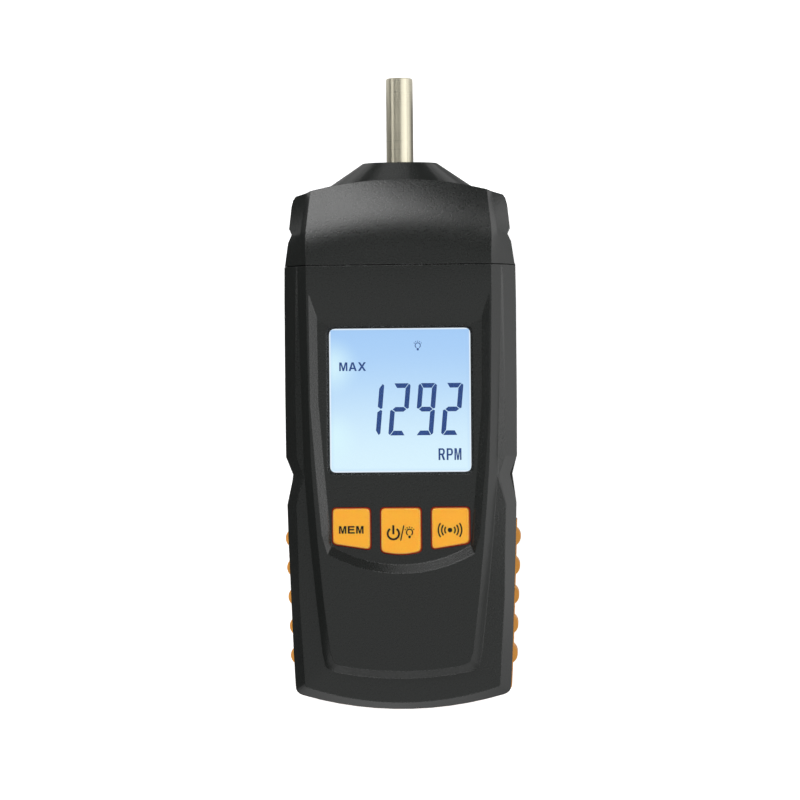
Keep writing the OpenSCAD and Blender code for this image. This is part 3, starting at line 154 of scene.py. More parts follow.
class Tree:
    """Builds the node tree of one material or of the world.

    Args:
        holder: The material or world whose tree is built. Its own nodes are removed.
    """

    def __init__(self, holder: bpy.types.Material | bpy.types.World) -> None:
        holder.use_nodes = True
        self.nodes = holder.node_tree.nodes
        self.links = holder.node_tree.links
        self.nodes.clear()
        self._place: Socket | None = None

    def node(self, kind: str, settings: dict[str, Any] | None = None,
             inputs: dict[str | int, Link] | None = None) -> bpy.types.Node:
        """Adds a node.

        Args:
            kind: The node's type, without the leading ShaderNode.
            settings: Properties of the node, set before its inputs.
            inputs: Values or links for its input sockets, by name or number.

        Returns:
            The node.
        """
        node = self.nodes.new("ShaderNode" + kind)
        for name, value in (settings or {}).items():
            setattr(node, name, value)
        for name, value in (inputs or {}).items():
            self.feed(node.inputs[name], value)
        return node

    def feed(self, socket: Socket, value: Link) -> None:
        """Gives an input socket a link or a constant.

        Args:
            socket: The input socket.
            value: What it gets.
        """
        if isinstance(value, Value):
            value = value.socket
        if isinstance(value, Socket):
            self.links.new(value, socket)
        elif isinstance(value, (int, float)):
            socket.default_value = value
        else:
            opaque = (1.0,) * (len(socket.default_value) - len(value))
            socket.default_value = (*value, *opaque)

    def math(self, operation: Operation, *operands: Value | float) -> Value:
        """Returns the result of a Math node with the given operands."""
        node = self.node("Math", {"operation": operation.value}, dict(enumerate(operands)))
        return Value(self, node.outputs[0])

    def place(self) -> Socket:
        """Returns the place on the object, in metres."""
        if self._place is None:
            self._place = self.node("TexCoord").outputs["Object"]
        return self._place

    def axes(self, vector: Socket | None = None) -> tuple[Value, Value, Value]:
        """Returns the x, y and z of a vector, or else of the place on the object."""
        split = self.node("SeparateXYZ", inputs={0: vector or self.place()})
        return tuple(Value(self, socket) for socket in split.outputs)

    def stretched(self, scale: Sequence[float]) -> Socket:
        """Returns the place with each axis multiplied by its own factor."""
        return self.node("VectorMath", {"operation": "MULTIPLY"},
                         {0: self.place(), 1: scale}).outputs[0]

    def noise(self, size: float, detail: float, rough: float = 0.5,
              vector: Socket | None = None) -> Value:
        """Adds a noise pattern.

        Args:
            size: Size of its blotches, in metres.
            detail: Number of finer layers.
            rough: Strength of the finer layers.
            vector: The place it is read at, if not the place on the object.

        Returns:
            The pattern, around 0.5.
        """
        node = self.node("TexNoise", inputs={"Vector": vector or self.place(), "Scale": 1 / size,
                                             "Detail": detail, "Roughness": rough})
        return Value(self, node.outputs[0])

    def cells(self, size: float) -> Value:
        """Returns the distance to the nearest of scattered points, as a share of the size."""
        node = self.node("TexVoronoi", inputs={"Vector": self.place(), "Scale": 1 / size})
        return Value(self, node.outputs["Distance"])

    def ramp(self, value: Value, low: float, high: float, start: float = 0.0,
             end: float = 1.0) -> Value:
        """Maps a span of a value smoothly onto another.

        Args:
            value: What is mapped.
            low: Where the span starts.
            high: Where it ends.
            start: The result at its start.
            end: The result at its end.

        Returns:
            The mapped value.
        """
        node = self.node("MapRange", {"interpolation_type": "SMOOTHSTEP"},
                         {0: value, 1: low, 2: high, 3: start, 4: end})
        return Value(self, node.outputs[0])

    def mix(self, share: Link, first: Link, second: Link) -> Socket:
        """Returns two colours mixed by the share of the second."""
        node = self.node("Mix", {"data_type": "RGBA"}, {0: share, 6: first, 7: second})
        return node.outputs[2]

    def bump(self, height: Value, depth: float, strength: float,
             normal: Socket | None = None) -> Socket:
        """Turns a height pattern into a normal.

        Args:
            height: The pattern.
            depth: Depth of its full range, in metres.
            strength: Share of the effect.
            normal: A normal that it is added to.

        Returns:
            The normal.
        """
        under: dict[str, Link] = {} if normal is None else {"Normal": normal}
        return self.node("Bump", inputs={"Height": height, "Distance": depth,
                                         "Strength": strength, **under}).outputs[0]

    def rounded(self, radius: float) -> Socket:
        """Returns a normal that turns smoothly over edges of the given radius."""
        return self.node("Bevel", {"samples": 4}, {"Radius": radius}).outputs[0]

    def surface(self, **inputs: Link) -> None:
        """Sends the main shader, with the inputs given, to the material's output."""
        named = {name.replace("_", " "): value for name, value in inputs.items()}
        self.output(self.node("BsdfPrincipled", inputs=named).outputs[0])

    def output(self, shader: Socket) -> None:
        """Sends a shader to the material's output."""
        self.node("OutputMaterial", inputs={0: shader})

    def by_ray(self, other: Socket, glossy: Socket, camera: Socket) -> Socket:
        """Chooses a shader by the kind of ray that meets it.

        Args:
            other: The shader for diffuse and other rays.
            glossy: The shader that glossy surfaces show.
            camera: The shader that the camera sees.

        Returns:
            The chosen shader.
        """
        rays = self.node("LightPath").outputs
        shader = other
        for kind, shown in (("Is Glossy Ray", glossy), ("Is Camera Ray", camera)):
            shader = self.node("MixShader", inputs={0: rays[kind], 1: shader,
                                                    2: shown}).outputs[0]
        return shader


@dataclass(frozen=True)
class Finish:
    """What a surface is made of and how it was worked: here an even coat, such as ink.

    Args:
        name: Name of its material.
        colour: Its main colour, linear.
        roughness: How dull it is.
    """

    name: str
    colour: Colour
    roughness: float = 0.5

    def build(self, tree: Tree) -> None:
        """Builds the shader.

        Args:
            tree: The material's tree.
        """
        specks = tree.noise(0.15 * MM, 2)
        tree.surface(Base_Color=self.shaded(tree, specks, 0.85), Roughness=self.roughness)

    def shaded(self, tree: Tree, pattern: Value, low: float, high: float = 1.0) -> Socket:
        """Varies the main colour's brightness with a pattern.

        Args:
            tree: The material's tree.
            pattern: The pattern, from 0 to 1.
            low: Brightness where the pattern is 0, as a share of the colour's own.
            high: Brightness where it is 1.

        Returns:
            The colour.
        """
        return tree.mix(pattern, *([c * share for c in self.colour] for share in (low, high)))

    def dulled(self, *changes: tuple[Value, float]) -> Value:
        """Varies the roughness with patterns round 0.5.

        Args:
            changes: Each pattern, and how much its full range changes the roughness.

        Returns:
            The roughness.
        """
        return sum(((pattern - 0.5) * change for pattern, change in changes),
                   self.roughness).clipped()

    def material(self) -> bpy.types.Material:
        """Returns the finish's material, made the first time that it is asked for."""
        if self.name not in MADE:
            MADE[self.name] = bpy.data.materials.new(self.name)
            self.build(Tree(MADE[self.name]))
        return MADE[self.name]


@dataclass(frozen=True)
class SparkPlastic(Finish):
    """Moulded plastic with the fine texture of a spark-eroded tool.

    Args:
        grain: Size of the texture's grains, in metres.
        depth: Depth of the texture, in metres.
        edge: Radius of the moulded edges, in metres.
    """

    grain: float = 0.5 * MM
    depth: float = 0.035 * MM
    edge: float = 0.4 * MM

    def build(self, tree: Tree) -> None:
        """Builds the shader.

        Args:
            tree: The material's tree.
        """
        grain = tree.noise(self.grain, 3, 0.6)
        broad = tree.noise(14 * MM, 3)
        pits = tree.ramp(tree.cells(self.grain * 1.5), 0.1, 0.6)
        tree.surface(
            Base_Color=self.shaded(tree, grain, 0.75, 1.3),
            Roughness=self.dulled((grain, 0.18), (broad, 0.06)),
            Normal=tree.bump(grain * 0.6 + pits * 0.4, self.depth, 0.8,
                             tree.rounded(self.edge)))


@dataclass(frozen=True)
class SoftRubber(Finish):
    """Moulded rubber with a matt bloom.

    Args:
        shade: Its colour in the shaded pores, linear.
        bloom: How much the bloom lightens it.
        edge: Radius of the moulded edges, in metres.
    """

    shade: Colour = (0.6, 0.2, 0.03)
    bloom: float = 0.08
    edge: float = 0.4 * MM

    def build(self, tree: Tree) -> None:
        """Builds the shader.

        Args:
            tree: The material's tree.
        """
        pores, body = self.body(tree)
        chalk = tree.noise(6 * MM, 3) * self.bloom
        self.skin(tree, pores, tree.rounded(self.edge),
                  Base_Color=tree.mix(chalk, body, (0.9, 0.75, 0.6)))

    def body(self, tree: Tree) -> tuple[Value, Socket]:
        """Returns the pattern of the pores, and the colour that they give."""
        pores = tree.noise(0.3 * MM, 3, 0.6)
        return pores, tree.mix(tree.ramp(pores, 0.2, 0.6), self.shade, self.colour)

    def skin(self, tree: Tree, pores: Value, rounded: Socket, **inputs: Link) -> None:
        """Adds the shader of a surface with pores.

        Args:
            tree: The material's tree.
            pores: The pattern of the pores.
            rounded: The normal, smooth over the edges.
            inputs: More inputs of the shader.
        """
        tree.surface(Roughness=self.dulled((pores, 0.15)), Sheen_Weight=0.15,
                     Normal=tree.bump(pores, 0.012 * MM, 0.6, rounded), **inputs)


@dataclass(frozen=True)
class KeyRubber(SoftRubber):
    """Translucent key rubber: painted highlight on the face's rim, painted shade and glow in the
    gap.

    Args:
        node: The key that it is fitted to. The others are as high.
        rim: Colour of the painted highlight on the face's rounded rim, linear.
        gap: Colour of the painted shade and painted glow in the gap round the key, linear.
        through: How much light passes through the rubber.
    """

    edge: float = 0.5 * MM
    node: str = "mem_key"
    rim: Colour = (1.0, 0.6, 0.16)
    gap: Colour = (0.2, 0.012, 0.002)
    through: float = 0.6

    def build(self, tree: Tree) -> None:
        """Builds the shader.

        Args:
            tree: The material's tree.
        """
        pores, body = self.body(tree)
        rounded = tree.rounded(self.edge)
        face = tree.node("NewGeometry").outputs["Normal"]
        turned = 1.0 - Value(tree, tree.node("VectorMath", {"operation": "DOT_PRODUCT"},
                                             {0: rounded, 1: face}).outputs["Value"])
        # Painted highlight on the face's rounded rim, then painted shade on the key's sides
        for start, end, colour in ((0.02, 0.12, self.rim), (0.14, 0.26, self.gap)):
            body = tree.mix(tree.ramp(turned, start, end), body, colour)
        # Below the key's top: painted shade in the base colour, and a painted glow as emission
        painted_shade_and_glow = tree.ramp(top_of(self.node) - tree.axes()[2], 0.15 * MM, 0.5 * MM)
        self.skin(tree, pores, rounded, Base_Color=tree.mix(painted_shade_and_glow, body, self.gap),
                  Subsurface_Weight=self.through, Subsurface_Radius=(1.0, 0.3, 0.05),
                  Subsurface_Scale=1.5 * MM, Emission_Strength=1.0,
                  Emission_Color=tree.mix(painted_shade_and_glow, BLACKEST, self.gap))


@dataclass(frozen=True)
class TurnedSteel(Finish):
    """Steel turned on a lathe about the spindle's axis.

    Args:
        axis_z: Height of the axis, in metres.
        pitch: Distance between tool marks, in metres.
    """

    axis_z: float = 17.5 * MM
    pitch: float = 0.12 * MM

    def build(self, tree: Tree) -> None:
        """Builds the shader.

        Args:
            tree: The material's tree.
        """
        x, y, z = tree.axes()
        radius = (x * x + (z - self.axis_z) * (z - self.axis_z)) ** 0.5
        along = tree.node("CombineXYZ", inputs={0: y, 1: radius}).outputs[0]
        marks = tree.noise(self.pitch, 2, 0.7, along)
        broad = tree.noise(4 * MM, 3, 0.5, tree.stretched((0.4, 1.0, 0.4)))
        tree.surface(Base_Color=self.shaded(tree, broad, 0.93), Metallic=1.0, Anisotropic=0.35,
                     Roughness=self.dulled((marks, 0.16), (broad, 0.05)),
                     Normal=tree.bump(marks, 0.004 * MM, 0.5))


@dataclass(frozen=True)
class GroundMetal(Finish):
    """Ground, plated or drawn metal."""

    def build(self, tree: Tree) -> None:
        """Builds the shader.

        Args:
            tree: The material's tree.
        """
        fine = tree.noise(0.25 * MM, 3)
        tree.surface(Base_Color=self.shaded(tree, tree.noise(3 * MM, 3), 0.8), Metallic=1.0,
                     Roughness=self.dulled((fine, 0.12)),
                     Normal=tree.bump(fine, 0.003 * MM, 0.4))


@dataclass(frozen=True)
class ClearLens(Finish):
    """Clear plastic window: it lets light straight through and reflects at its face."""

    def build(self, tree: Tree) -> None:
        """Builds the shader.

        Args:
            tree: The material's tree.
        """
        wipe = tree.noise(7 * MM, 4, 0.6, tree.stretched((1.0, 0.25, 1.0)))
        gloss = tree.node("BsdfGlossy", inputs={
            "Color": WHITEST, "Roughness": self.dulled((wipe, 0.03))})
        clear = tree.node("BsdfTransparent", inputs={"Color": self.colour})
        fresnel = Value(tree, tree.node("LayerWeight", inputs={0: 0.25}).outputs["Fresnel"])
        inside = Value(tree, tree.node("NewGeometry").outputs["Backfacing"])
        share = ((fresnel * 0.6 + (wipe - 0.5) * 0.01) * (1.0 - inside)).clipped()
        tree.output(tree.node("MixShader", inputs={
            0: share, 1: clear.outputs[0], 2: gloss.outputs[0]}).outputs[0])


@dataclass(frozen=True)
class LitDisplay(Finish):
    """Backlit liquid crystal glass, brightest by its lamps.

    Args:
        low: Colour at the display's lower end, linear.
        high: Colour at its upper end, linear.
        spot: Colour next to a lamp, linear.
        rim: Colour of the lit line at the window's edge, linear.
        node: The lens that the display is seen through.
        border: Width of the lens's opaque border, in metres.
        lamps: Each lamp's place across and along the case, in metres.
        reach: How far a lamp's bright spot spreads, in metres.
        glow: Strength of the light.
    """

    low: Colour = (0.74, 0.93, 1.0)
    high: Colour = (0.39, 0.62, 0.93)
    spot: Colour = (0.75, 0.98, 1.0)
    rim: Colour = (0.86, 0.93, 1.0)
    node: str = "display_lens"
    border: float = 0.6 * MM
    lamps: tuple[Point, ...] = ((-22.8 * MM, 8.6 * MM), (-22.8 * MM, -15 * MM))
    reach: float = 11 * MM
    glow: float = 0.95

    def build(self, tree: Tree) -> None:
        """Builds the shader.

        Args:
            tree: The material's tree.
        """
        x, y, _ = tree.axes()
        (left, low, _), (right, high, _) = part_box(self.node)
        inside = (x - left).least(right - x).least(y - low).least(high - y) - self.border
        colour = tree.mix(tree.ramp(y, low + self.border, high - self.border),
                          self.low, self.high)
        for lamp_x, lamp_y in self.lamps:
            aside, along = x - lamp_x, y - lamp_y
            near = tree.ramp((aside * aside + along * along) ** 0.5, 0.0, self.reach, 0.85, 0.0)
            colour = tree.mix(near, colour, self.spot)
        dots = tree.noise(0.5 * MM, 2)
        colour = tree.mix((dots - 0.3) * 0.12, colour, self.high)
        for start, end, share, line in ((0.5 * MM, 1.6 * MM, 0.18, self.high),
                                        (0.2 * MM, 0.6 * MM, 1.0, self.rim)):
            colour = tree.mix(tree.ramp(inside, start, end, share, 0.0), colour, line)
        tree.surface(Base_Color=(0.03, 0.035, 0.04), Roughness=0.3, Emission_Color=colour,
                     Emission_Strength=self.glow)


@dataclass(frozen=True)
class CircuitBoard(Finish):
    """Glass-fibre board: copper traces under the solder mask, and tinned pads.

    Args:
        trace: Colour of the mask over copper, linear.
        tin: Colour of a pad, linear.
        pitch: Distance between traces, in metres.
    """

    trace: Colour = (0.025, 0.2, 0.075)
    tin: Colour = (0.62, 0.62, 0.6)
    pitch: float = 1.3 * MM

    def build(self, tree: Tree) -> None:
        """Builds the shader.

        Args:
            tree: The material's tree.
        """
        x, y, _ = tree.axes()
        area = tree.noise(9 * MM, 1)
        along, across = (tree.ramp((axis * (math.pi / self.pitch)).sine().absolute(), 0.2, 0.35,
                                   1.0, 0.0) for axis in (x, y))
        copper = (along * tree.ramp(area, 0.5, 0.52) + across * tree.ramp(area, 0.44, 0.46, 1.0,
                                                                          0.0)).clipped()
        pads = tree.ramp(tree.cells(3.4 * MM), 0.13, 0.16, 1.0, 0.0)
        tree.surface(Base_Color=tree.mix(pads, tree.mix(copper, self.colour, self.trace),
                                         self.tin),
                     Metallic=pads * 0.9, Roughness=self.roughness + pads * 0.1,
                     Normal=tree.bump(copper + pads, 0.03 * MM, 0.6))


@dataclass(frozen=True)
class CellWrap(Finish):
    """Dry cells: a printed wrap with a pale band, and bare plated ends.

    Args:
        band: Colour of the band, linear.
        plated: Colour of the ends, linear.
        node: The cells.
        start: Where the band starts, as a share of the cells' length.
        end: Where it ends.
    """

    band: Colour = (0.62, 0.42, 0.16)
    plated: Colour = (0.66, 0.66, 0.64)
    node: str = "battery_cells"
    start: float = 0.72
    end: float = 0.95

    def build(self, tree: Tree) -> None:
        """Builds the shader.

        Args:
            tree: The material's tree.
        """
        y = tree.axes()[1]
        along = tree.axes(tree.node("NewGeometry").outputs["Normal"])[1]
        bare = tree.ramp(along.absolute(), 0.85, 0.9)
        low, high = (corner[1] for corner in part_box(self.node))
        start, end = (low + (high - low) * share for share in (self.start, self.end))
        edge = 0.1 * MM
        band = tree.ramp(y, start, start + edge) * tree.ramp(y, end - edge, end, 1.0, 0.0)
        scuffs = tree.noise(2.5 * MM, 4, 0.6)
        wrap = tree.mix(band, self.shaded(tree, scuffs, 0.8), self.band)
        tree.surface(Base_Color=tree.mix(bare, wrap, self.plated), Metallic=bare,
                     Roughness=self.dulled((scuffs, 0.1)),
                     Normal=tree.bump(scuffs, 0.006 * MM, 0.5))


@dataclass(frozen=True)
class Striped(Finish):
    """Stripes side by side across the case, as in a ribbon cable.

    Args:
        other: Colour of every second stripe, linear.
        pitch: Width of two stripes, in metres.
        relief: Height of a stripe, in metres.
    """

    other: Colour = (0.5, 0.5, 0.5)
    pitch: float = 1.0 * MM
    relief: float = 0.0

    def build(self, tree: Tree) -> None:
        """Builds the shader.

        Args:
            tree: The material's tree.
        """
        wave = (tree.axes()[0] * (2 * math.pi / self.pitch)).sine() * 0.5 + 0.5
        tree.surface(Base_Color=tree.mix(tree.ramp(wave, 0.35, 0.65), self.colour, self.other),
                     Roughness=self.dulled((tree.noise(0.3 * MM, 2), 0.1)),
                     Normal=tree.bump(wave, self.relief, 0.7))


@dataclass(frozen=True)
class Felt(Finish):
    """Pressed wool felt."""

    def build(self, tree: Tree) -> None:
        """Builds the shader.

        Args:
            tree: The material's tree.
        """
        fibres = tree.noise(0.35 * MM, 5, 0.75, tree.stretched((1.0, 3.0, 1.0)))
        tree.surface(Base_Color=self.shaded(tree, fibres, 0.6),
                     Roughness=self.roughness, Sheen_Weight=0.4,
                     Normal=tree.bump(fibres, 0.12 * MM, 0.9))


CASE = SparkPlastic("case_plastic", (0.0135, 0.015, 0.014), 0.22)
GRIP = SoftRubber("grip_rubber", (1.0, 0.42, 0.045), 0.5, shade=(0.92, 0.34, 0.03))
KEY = KeyRubber("key_rubber", (0.97, 0.45, 0.02), 0.42, shade=(0.93, 0.38, 0.015))
LENS = ClearLens("lens_clear", (0.97, 0.985, 1.0), 0.03)
LIT = LitDisplay("lcd_glass", BLACKEST)
WHITE = SparkPlastic("white_plastic", (0.68, 0.68, 0.66), 0.4, grain=0.3 * MM, depth=0.01 * MM)
BLACK = SparkPlastic("black_plastic", (0.012, 0.012, 0.013), 0.4, grain=0.25 * MM,
                     depth=0.012 * MM, edge=0.15 * MM)
ZEBRA = Striped("zebra_rubber", (0.62, 0.34, 0.36), 0.6, other=(0.03, 0.03, 0.03),
                pitch=0.5 * MM, relief=0.02 * MM)
BOARD = CircuitBoard("board_mask", (0.01, 0.1, 0.04), 0.3)
PARTS = SparkPlastic("component_body", (0.2, 0.14, 0.08), 0.4, grain=0.2 * MM,
                     depth=0.008 * MM, edge=0.1 * MM)
STEEL = TurnedSteel("spindle_steel", (0.54, 0.51, 0.4), 0.3)
BEARING = GroundMetal("bearing_steel", (0.65, 0.66, 0.68), 0.15)
BRASS = GroundMetal("cage_brass", (0.7, 0.5, 0.2), 0.25)
ALLOY = GroundMetal("carrier_alloy", (0.5, 0.51, 0.53), 0.4)
SPRING = GroundMetal("spring_steel", (0.2, 0.2, 0.22), 0.35)
PLATED = GroundMetal("contact_metal", (0.65, 0.64, 0.6), 0.2)
SCREW = GroundMetal("screw_steel", (0.35, 0.35, 0.37), 0.35)
FELT = Felt("felt", (0.35, 0.32, 0.26), 0.95)
CELLS = CellWrap("cell_jacket", (0.015, 0.06, 0.16), 0.3)
RIBBON = Striped("ribbon", (0.32, 0.32, 0.36), 0.5, other=(0.2, 0.2, 0.23), pitch=1.27 * MM,
                 relief=0.2 * MM)
LEAD = SoftRubber("lead_cover", (0.45, 0.012, 0.012), 0.4, shade=(0.3, 0.008, 0.008),
                  bloom=0.02, edge=0.1 * MM)
INK = Finish("key_ink", (0.004, 0.003, 0.002), 0.9)
SEGMENT = Finish("display_segment", (0.012, 0.06, 0.24), 0.4)


def placed(name: str, data: bpy.types.ID) -> bpy.types.Object:
    """Adds an object to the scene.

    Args:
        name: Its name.
        data: Its mesh, lamp or camera.

    Returns:
        The object.
    """
    thing = bpy.data.objects.new(name, data)
    bpy.context.collection.objects.link(thing)
    return thing


@dataclass(frozen=True)
class Smoothing:
    """Shades a moulded shell smoothly across the facets of its curved faces.

    Args:
        name: Name of its node group.
        weld: Distance at which the facets' corners are joined, in metres.
        crease: Angle from which an edge stays sharp, in degrees.
    """

    name: str = "smooth_shell"
    weld: float = 0.001 * MM
    crease: float = 14.0

    def group(self) -> bpy.types.NodeTree:
        """Returns the node group, made the first time that it is asked for."""
        if self.name in bpy.data.node_groups:
            return bpy.data.node_groups[self.name]
        tree = bpy.data.node_groups.new(self.name, "GeometryNodeTree")
        for way in ("INPUT", "OUTPUT"):
            tree.interface.new_socket("Geometry", in_out=way, socket_type="NodeSocketGeometry")
        start, end, weld, plain, angle, flat, edges, faces = (tree.nodes.new(kind) for kind in (
            "NodeGroupInput", "NodeGroupOutput", "GeometryNodeMergeByDistance",
            "GeometryNodeRemoveAttribute", "GeometryNodeInputMeshEdgeAngle",
            "FunctionNodeCompare", "GeometryNodeSetShadeSmooth", "GeometryNodeSetShadeSmooth"))
        weld.inputs["Distance"].default_value = self.weld
        plain.inputs["Name"].default_value = "custom_normal"
        flat.operation = "LESS_THAN"
        flat.inputs[1].default_value = math.radians(self.crease)
        edges.domain = "EDGE"
        tree.links.new(angle.outputs["Unsigned Angle"], flat.inputs[0])
        tree.links.new(flat.outputs[0], edges.inputs["Shade Smooth"])
        line = (start, weld, plain, edges, faces, end)
        for before, after in zip(line, line[1:]):
            tree.links.new(before.outputs[0], after.inputs[0])
        return tree

    def apply(self, piece: bpy.types.Object) -> None:
        """Adds the modifier to a piece."""
        piece.modifiers.new(self.name, "NODES").node_group = self.group()


@dataclass(frozen=True)
class View:
    """The camera, which looks down on the meter lying on its back.

    Args:
        yaw: How far it stands to the right, in degrees.
        roll: How far the meter is turned in the picture, in degrees, anticlockwise.
        distance: From the camera to the middle point, in metres.
        middle: Point of the meter that the picture is centred on, in metres.
        lens: Focal length, in millimetres.
        sensor: Width of the sensor, in millimetres.
        pixels: Width of the picture, in pixels.
    """

    yaw: float = 2.3
    roll: float = 0.5
    distance: float = 1.0
    middle: Place = (0.0, -2.44 * MM, 34 * MM)
    lens: float = 139.7
    sensor: float = 36.0
    pixels: int = 800

    def seen(self, pixel: Point, z: float) -> Place:
        """Returns the place on a level plane that a pixel shows, if the meter isn't turned.

        Args:
            pixel: The pixel.
            z: Height of the plane, in metres.
        """
        x, y, height = self.middle
        scale = self.sensor / self.lens / self.pixels * (self.distance + height - z)
        aside = (z - height) * math.tan(math.radians(self.yaw))
        right, down = (place - self.pixels / 2 for place in pixel)
        return x + aside + right * scale, y - down * scale, z

    def build(self, scene: bpy.types.Scene) -> None:
        """Adds the camera.

        Args:
            scene: The scene.
        """
        camera = placed("camera", bpy.data.cameras.new("camera"))
        turn = math.radians(self.yaw)
        camera.location = Vector(self.middle) + Vector(
            (math.sin(turn), 0, math.cos(turn))) * self.distance
        camera.rotation_mode = "XYZ"
        camera.rotation_euler = (0.0, turn, 0.0)
        camera.rotation_euler.rotate_axis("Z", -math.radians(self.roll))
        camera.data.lens = self.lens
        camera.data.sensor_width = self.sensor
        camera.data.clip_start = self.distance / 20
        scene.camera = camera


VIEW = View()


def around(centre: Point, radius: float, angle: float) -> Point:
    """Returns the pixel at an angle from a centre.

    Args:
        centre: The centre.
        radius: Distance from it.
        angle: The angle, in degrees from the right, anticlockwise.
    """
    turn = math.radians(angle)
    return centre[0] + radius * math.cos(turn), centre[1] - radius * math.sin(turn)


class Sheet:
    """Flat figures laid on one level plane, drawn in the photograph's pixels.

    Args:
        z: Height of the plane, in metres.
    """

    def __init__(self, z: float) -> None:
        self.z = z
        self.points: list[Place] = []
        self.faces: list[list[int]] = []

    def polygon(self, points: Sequence[Point]) -> None:
        """Adds a filled polygon.

        Args:
            points: Its corners.
        """
        start = len(self.points)
        self.points += [VIEW.seen(p, self.z) for p in points]
        face = list(range(start, len(self.points)))
        turn = sum(a[0] * b[1] - b[0] * a[1] for a, b in zip(points, [*points[1:], points[0]]))
        self.faces.append(face if turn < 0 else face[::-1])

    def stroke(self, path: Sequence[Point], width: float) -> None:
        """Adds a line of even width.

        Args:
            path: The points that it runs through.
            width: Its width.
        """
        left, right = [], []
        for before, (x, y), after in zip([path[0], *path], path, [*path[1:], path[-1]]):
            dx, dy = after[0] - before[0], after[1] - before[1]
            half = width / 2 / math.hypot(dx, dy)
            left.append((x - dy * half, y + dx * half))
            right.append((x + dy * half, y - dx * half))
        for i in range(len(path) - 1):
            self.polygon([left[i], left[i + 1], right[i + 1], right[i]])

    def arc(self, centre: Point, radius: float, start: float, end: float, width: float,
            steps: int = 24) -> None:
        """Adds an arc of even width.

        Args:
            centre: Its centre.
            radius: Its radius.
            start: Angle where it starts, in degrees from the right, anticlockwise.
            end: Angle where it ends.
            width: Its width.
            steps: Number of straight pieces.
        """
        self.stroke([around(centre, radius, start + (end - start) * i / steps)
                     for i in range(steps + 1)], width)

    def disc(self, centre: Point, radius: float, steps: int = 24) -> None:
        """Adds a filled circle with the given number of sides."""
        self.polygon([around(centre, radius, -360 * i / steps) for i in range(steps)])

    def words(self, text: str, box: Box, lettering: Lettering) -> None:
        """Adds lettering that fills a box.

        Args:
            text: What it says.
            box: The box.
            lettering: The shapes of its letters.
        """
        left, top, right, bottom = box
        width = (right - left) / (len(text) + lettering.spacing * (len(text) - 1))
        for i, letter in enumerate(text):
            start = left + width * (1 + lettering.spacing) * i
            for shape in lettering.outlines(letter):
                self.polygon([(start + x * width, bottom - y * (bottom - top))
                              for x, y in shape])

    def lay(self, name: str, body: str, finish: Finish) -> bpy.types.Object:
        """Turns the figures into a piece.

        Args:
            name: Name of the piece.
            body: The body that it moves with.
            finish: Its finish.

        Returns:
            The piece.
        """
        mesh = bpy.data.meshes.new(name)
        mesh.from_pydata(self.points, [], self.faces)
        mesh.materials.append(finish.material())
        piece = placed(name, mesh)
        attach(piece, body)
        return piece


@dataclass(frozen=True)
class Lettering:
    """Shapes of plain block letters, each in a box one wide and one high.

    Args:
        stem: Thickness of the upright strokes.
        bar: Thickness of the level strokes.
        spacing: Gap between letters.
        waist: Height of the middle of an E.
    """

    stem: float = 0.23
    bar: float = 0.17
    spacing: float = 0.14
    waist: float = 0.52

    def outlines(self, letter: str) -> list[list[Point]]:
        """Returns the outlines that make up a letter.

        Args:
            letter: The letter, one of A, E, M, P, R and X.
        """
        s, b = self.stem, self.bar
        upright, slanted, leg = s * 0.85, s * 1.15, s * 1.05
        low, high = self.waist - b / 2, self.waist + b / 2
        half_a = [(0.0, 0.0), (leg, 0.0), (leg + 0.08, 0.22), (0.5, 0.22), (0.5, 0.22 + b),
                  (leg + 0.135, 0.22 + b), (0.5, 0.79), (0.5, 1.0), (0.5 - s * 0.58, 1.0)]
        return {
            "M": [[(0, 0), (upright, 0), (upright, 0.72), (0.5 - s * 0.42, 0),
                   (0.5 + s * 0.42, 0), (1 - upright, 0.72), (1 - upright, 0), (1, 0), (1, 1),
                   (1 - s * 1.25, 1), (0.5, 0.33), (s * 1.25, 1), (0, 1)]],
            "E": [[(0.04, 0), (0.97, 0), (0.97, b), (0.04 + s, b), (0.04 + s, low), (0.9, low),
                   (0.9, high), (0.04 + s, high), (0.04 + s, 1 - b), (0.94, 1 - b), (0.94, 1),
                   (0.04, 1)]],
            "A": [half_a, [(1 - x, y) for x, y in reversed(half_a)]],
            "X": [[(0, 0), (slanted, 0), (0.5, 0.35), (1 - slanted, 0), (1, 0), (0.64, 0.51),
                   (0.98, 1), (0.98 - slanted, 1), (0.5, 0.67), (0.02 + slanted, 1), (0.02, 1),
                   (0.36, 0.51)]],
            "P": self.bowl(0.38),
            "R": [*self.bowl(0.42), [(0.46, 0.42), (0.46 + slanted, 0.42), (1, 0),
                                     (1 - slanted, 0)]],
        }[letter]

    def bowl(self, foot: float, steps: int = 12) -> list[list[Point]]:
        """Returns the outlines of an upright with a bowl at its top, as in a P.

        Args:
            foot: Height of the bowl's lower side.
            steps: Number of straight pieces in its curve.
        """
        s, b = self.stem, self.bar
        left, turn, reach, rise = 0.05, 0.62, 0.34, (1 - foot) / 2
        angles = [math.pi * k / steps for k in range(steps + 1)]
        outer, inner = ([(turn + wide * math.sin(a), foot + rise - tall * math.cos(a))
                         for a in angles] for wide, tall in ((reach, rise), (reach - s, rise - b)))
        curve = [[outer[k], outer[k + 1], inner[k + 1], inner[k]] for k in range(steps)]
        level = [[(left + s, y), (turn, y), (turn, y + b), (left + s, y + b)]
                 for y in (foot, 1 - b)]
        return [[(left, 0), (left + s, 0), (left + s, 1), (left, 1)], *level, *curve]


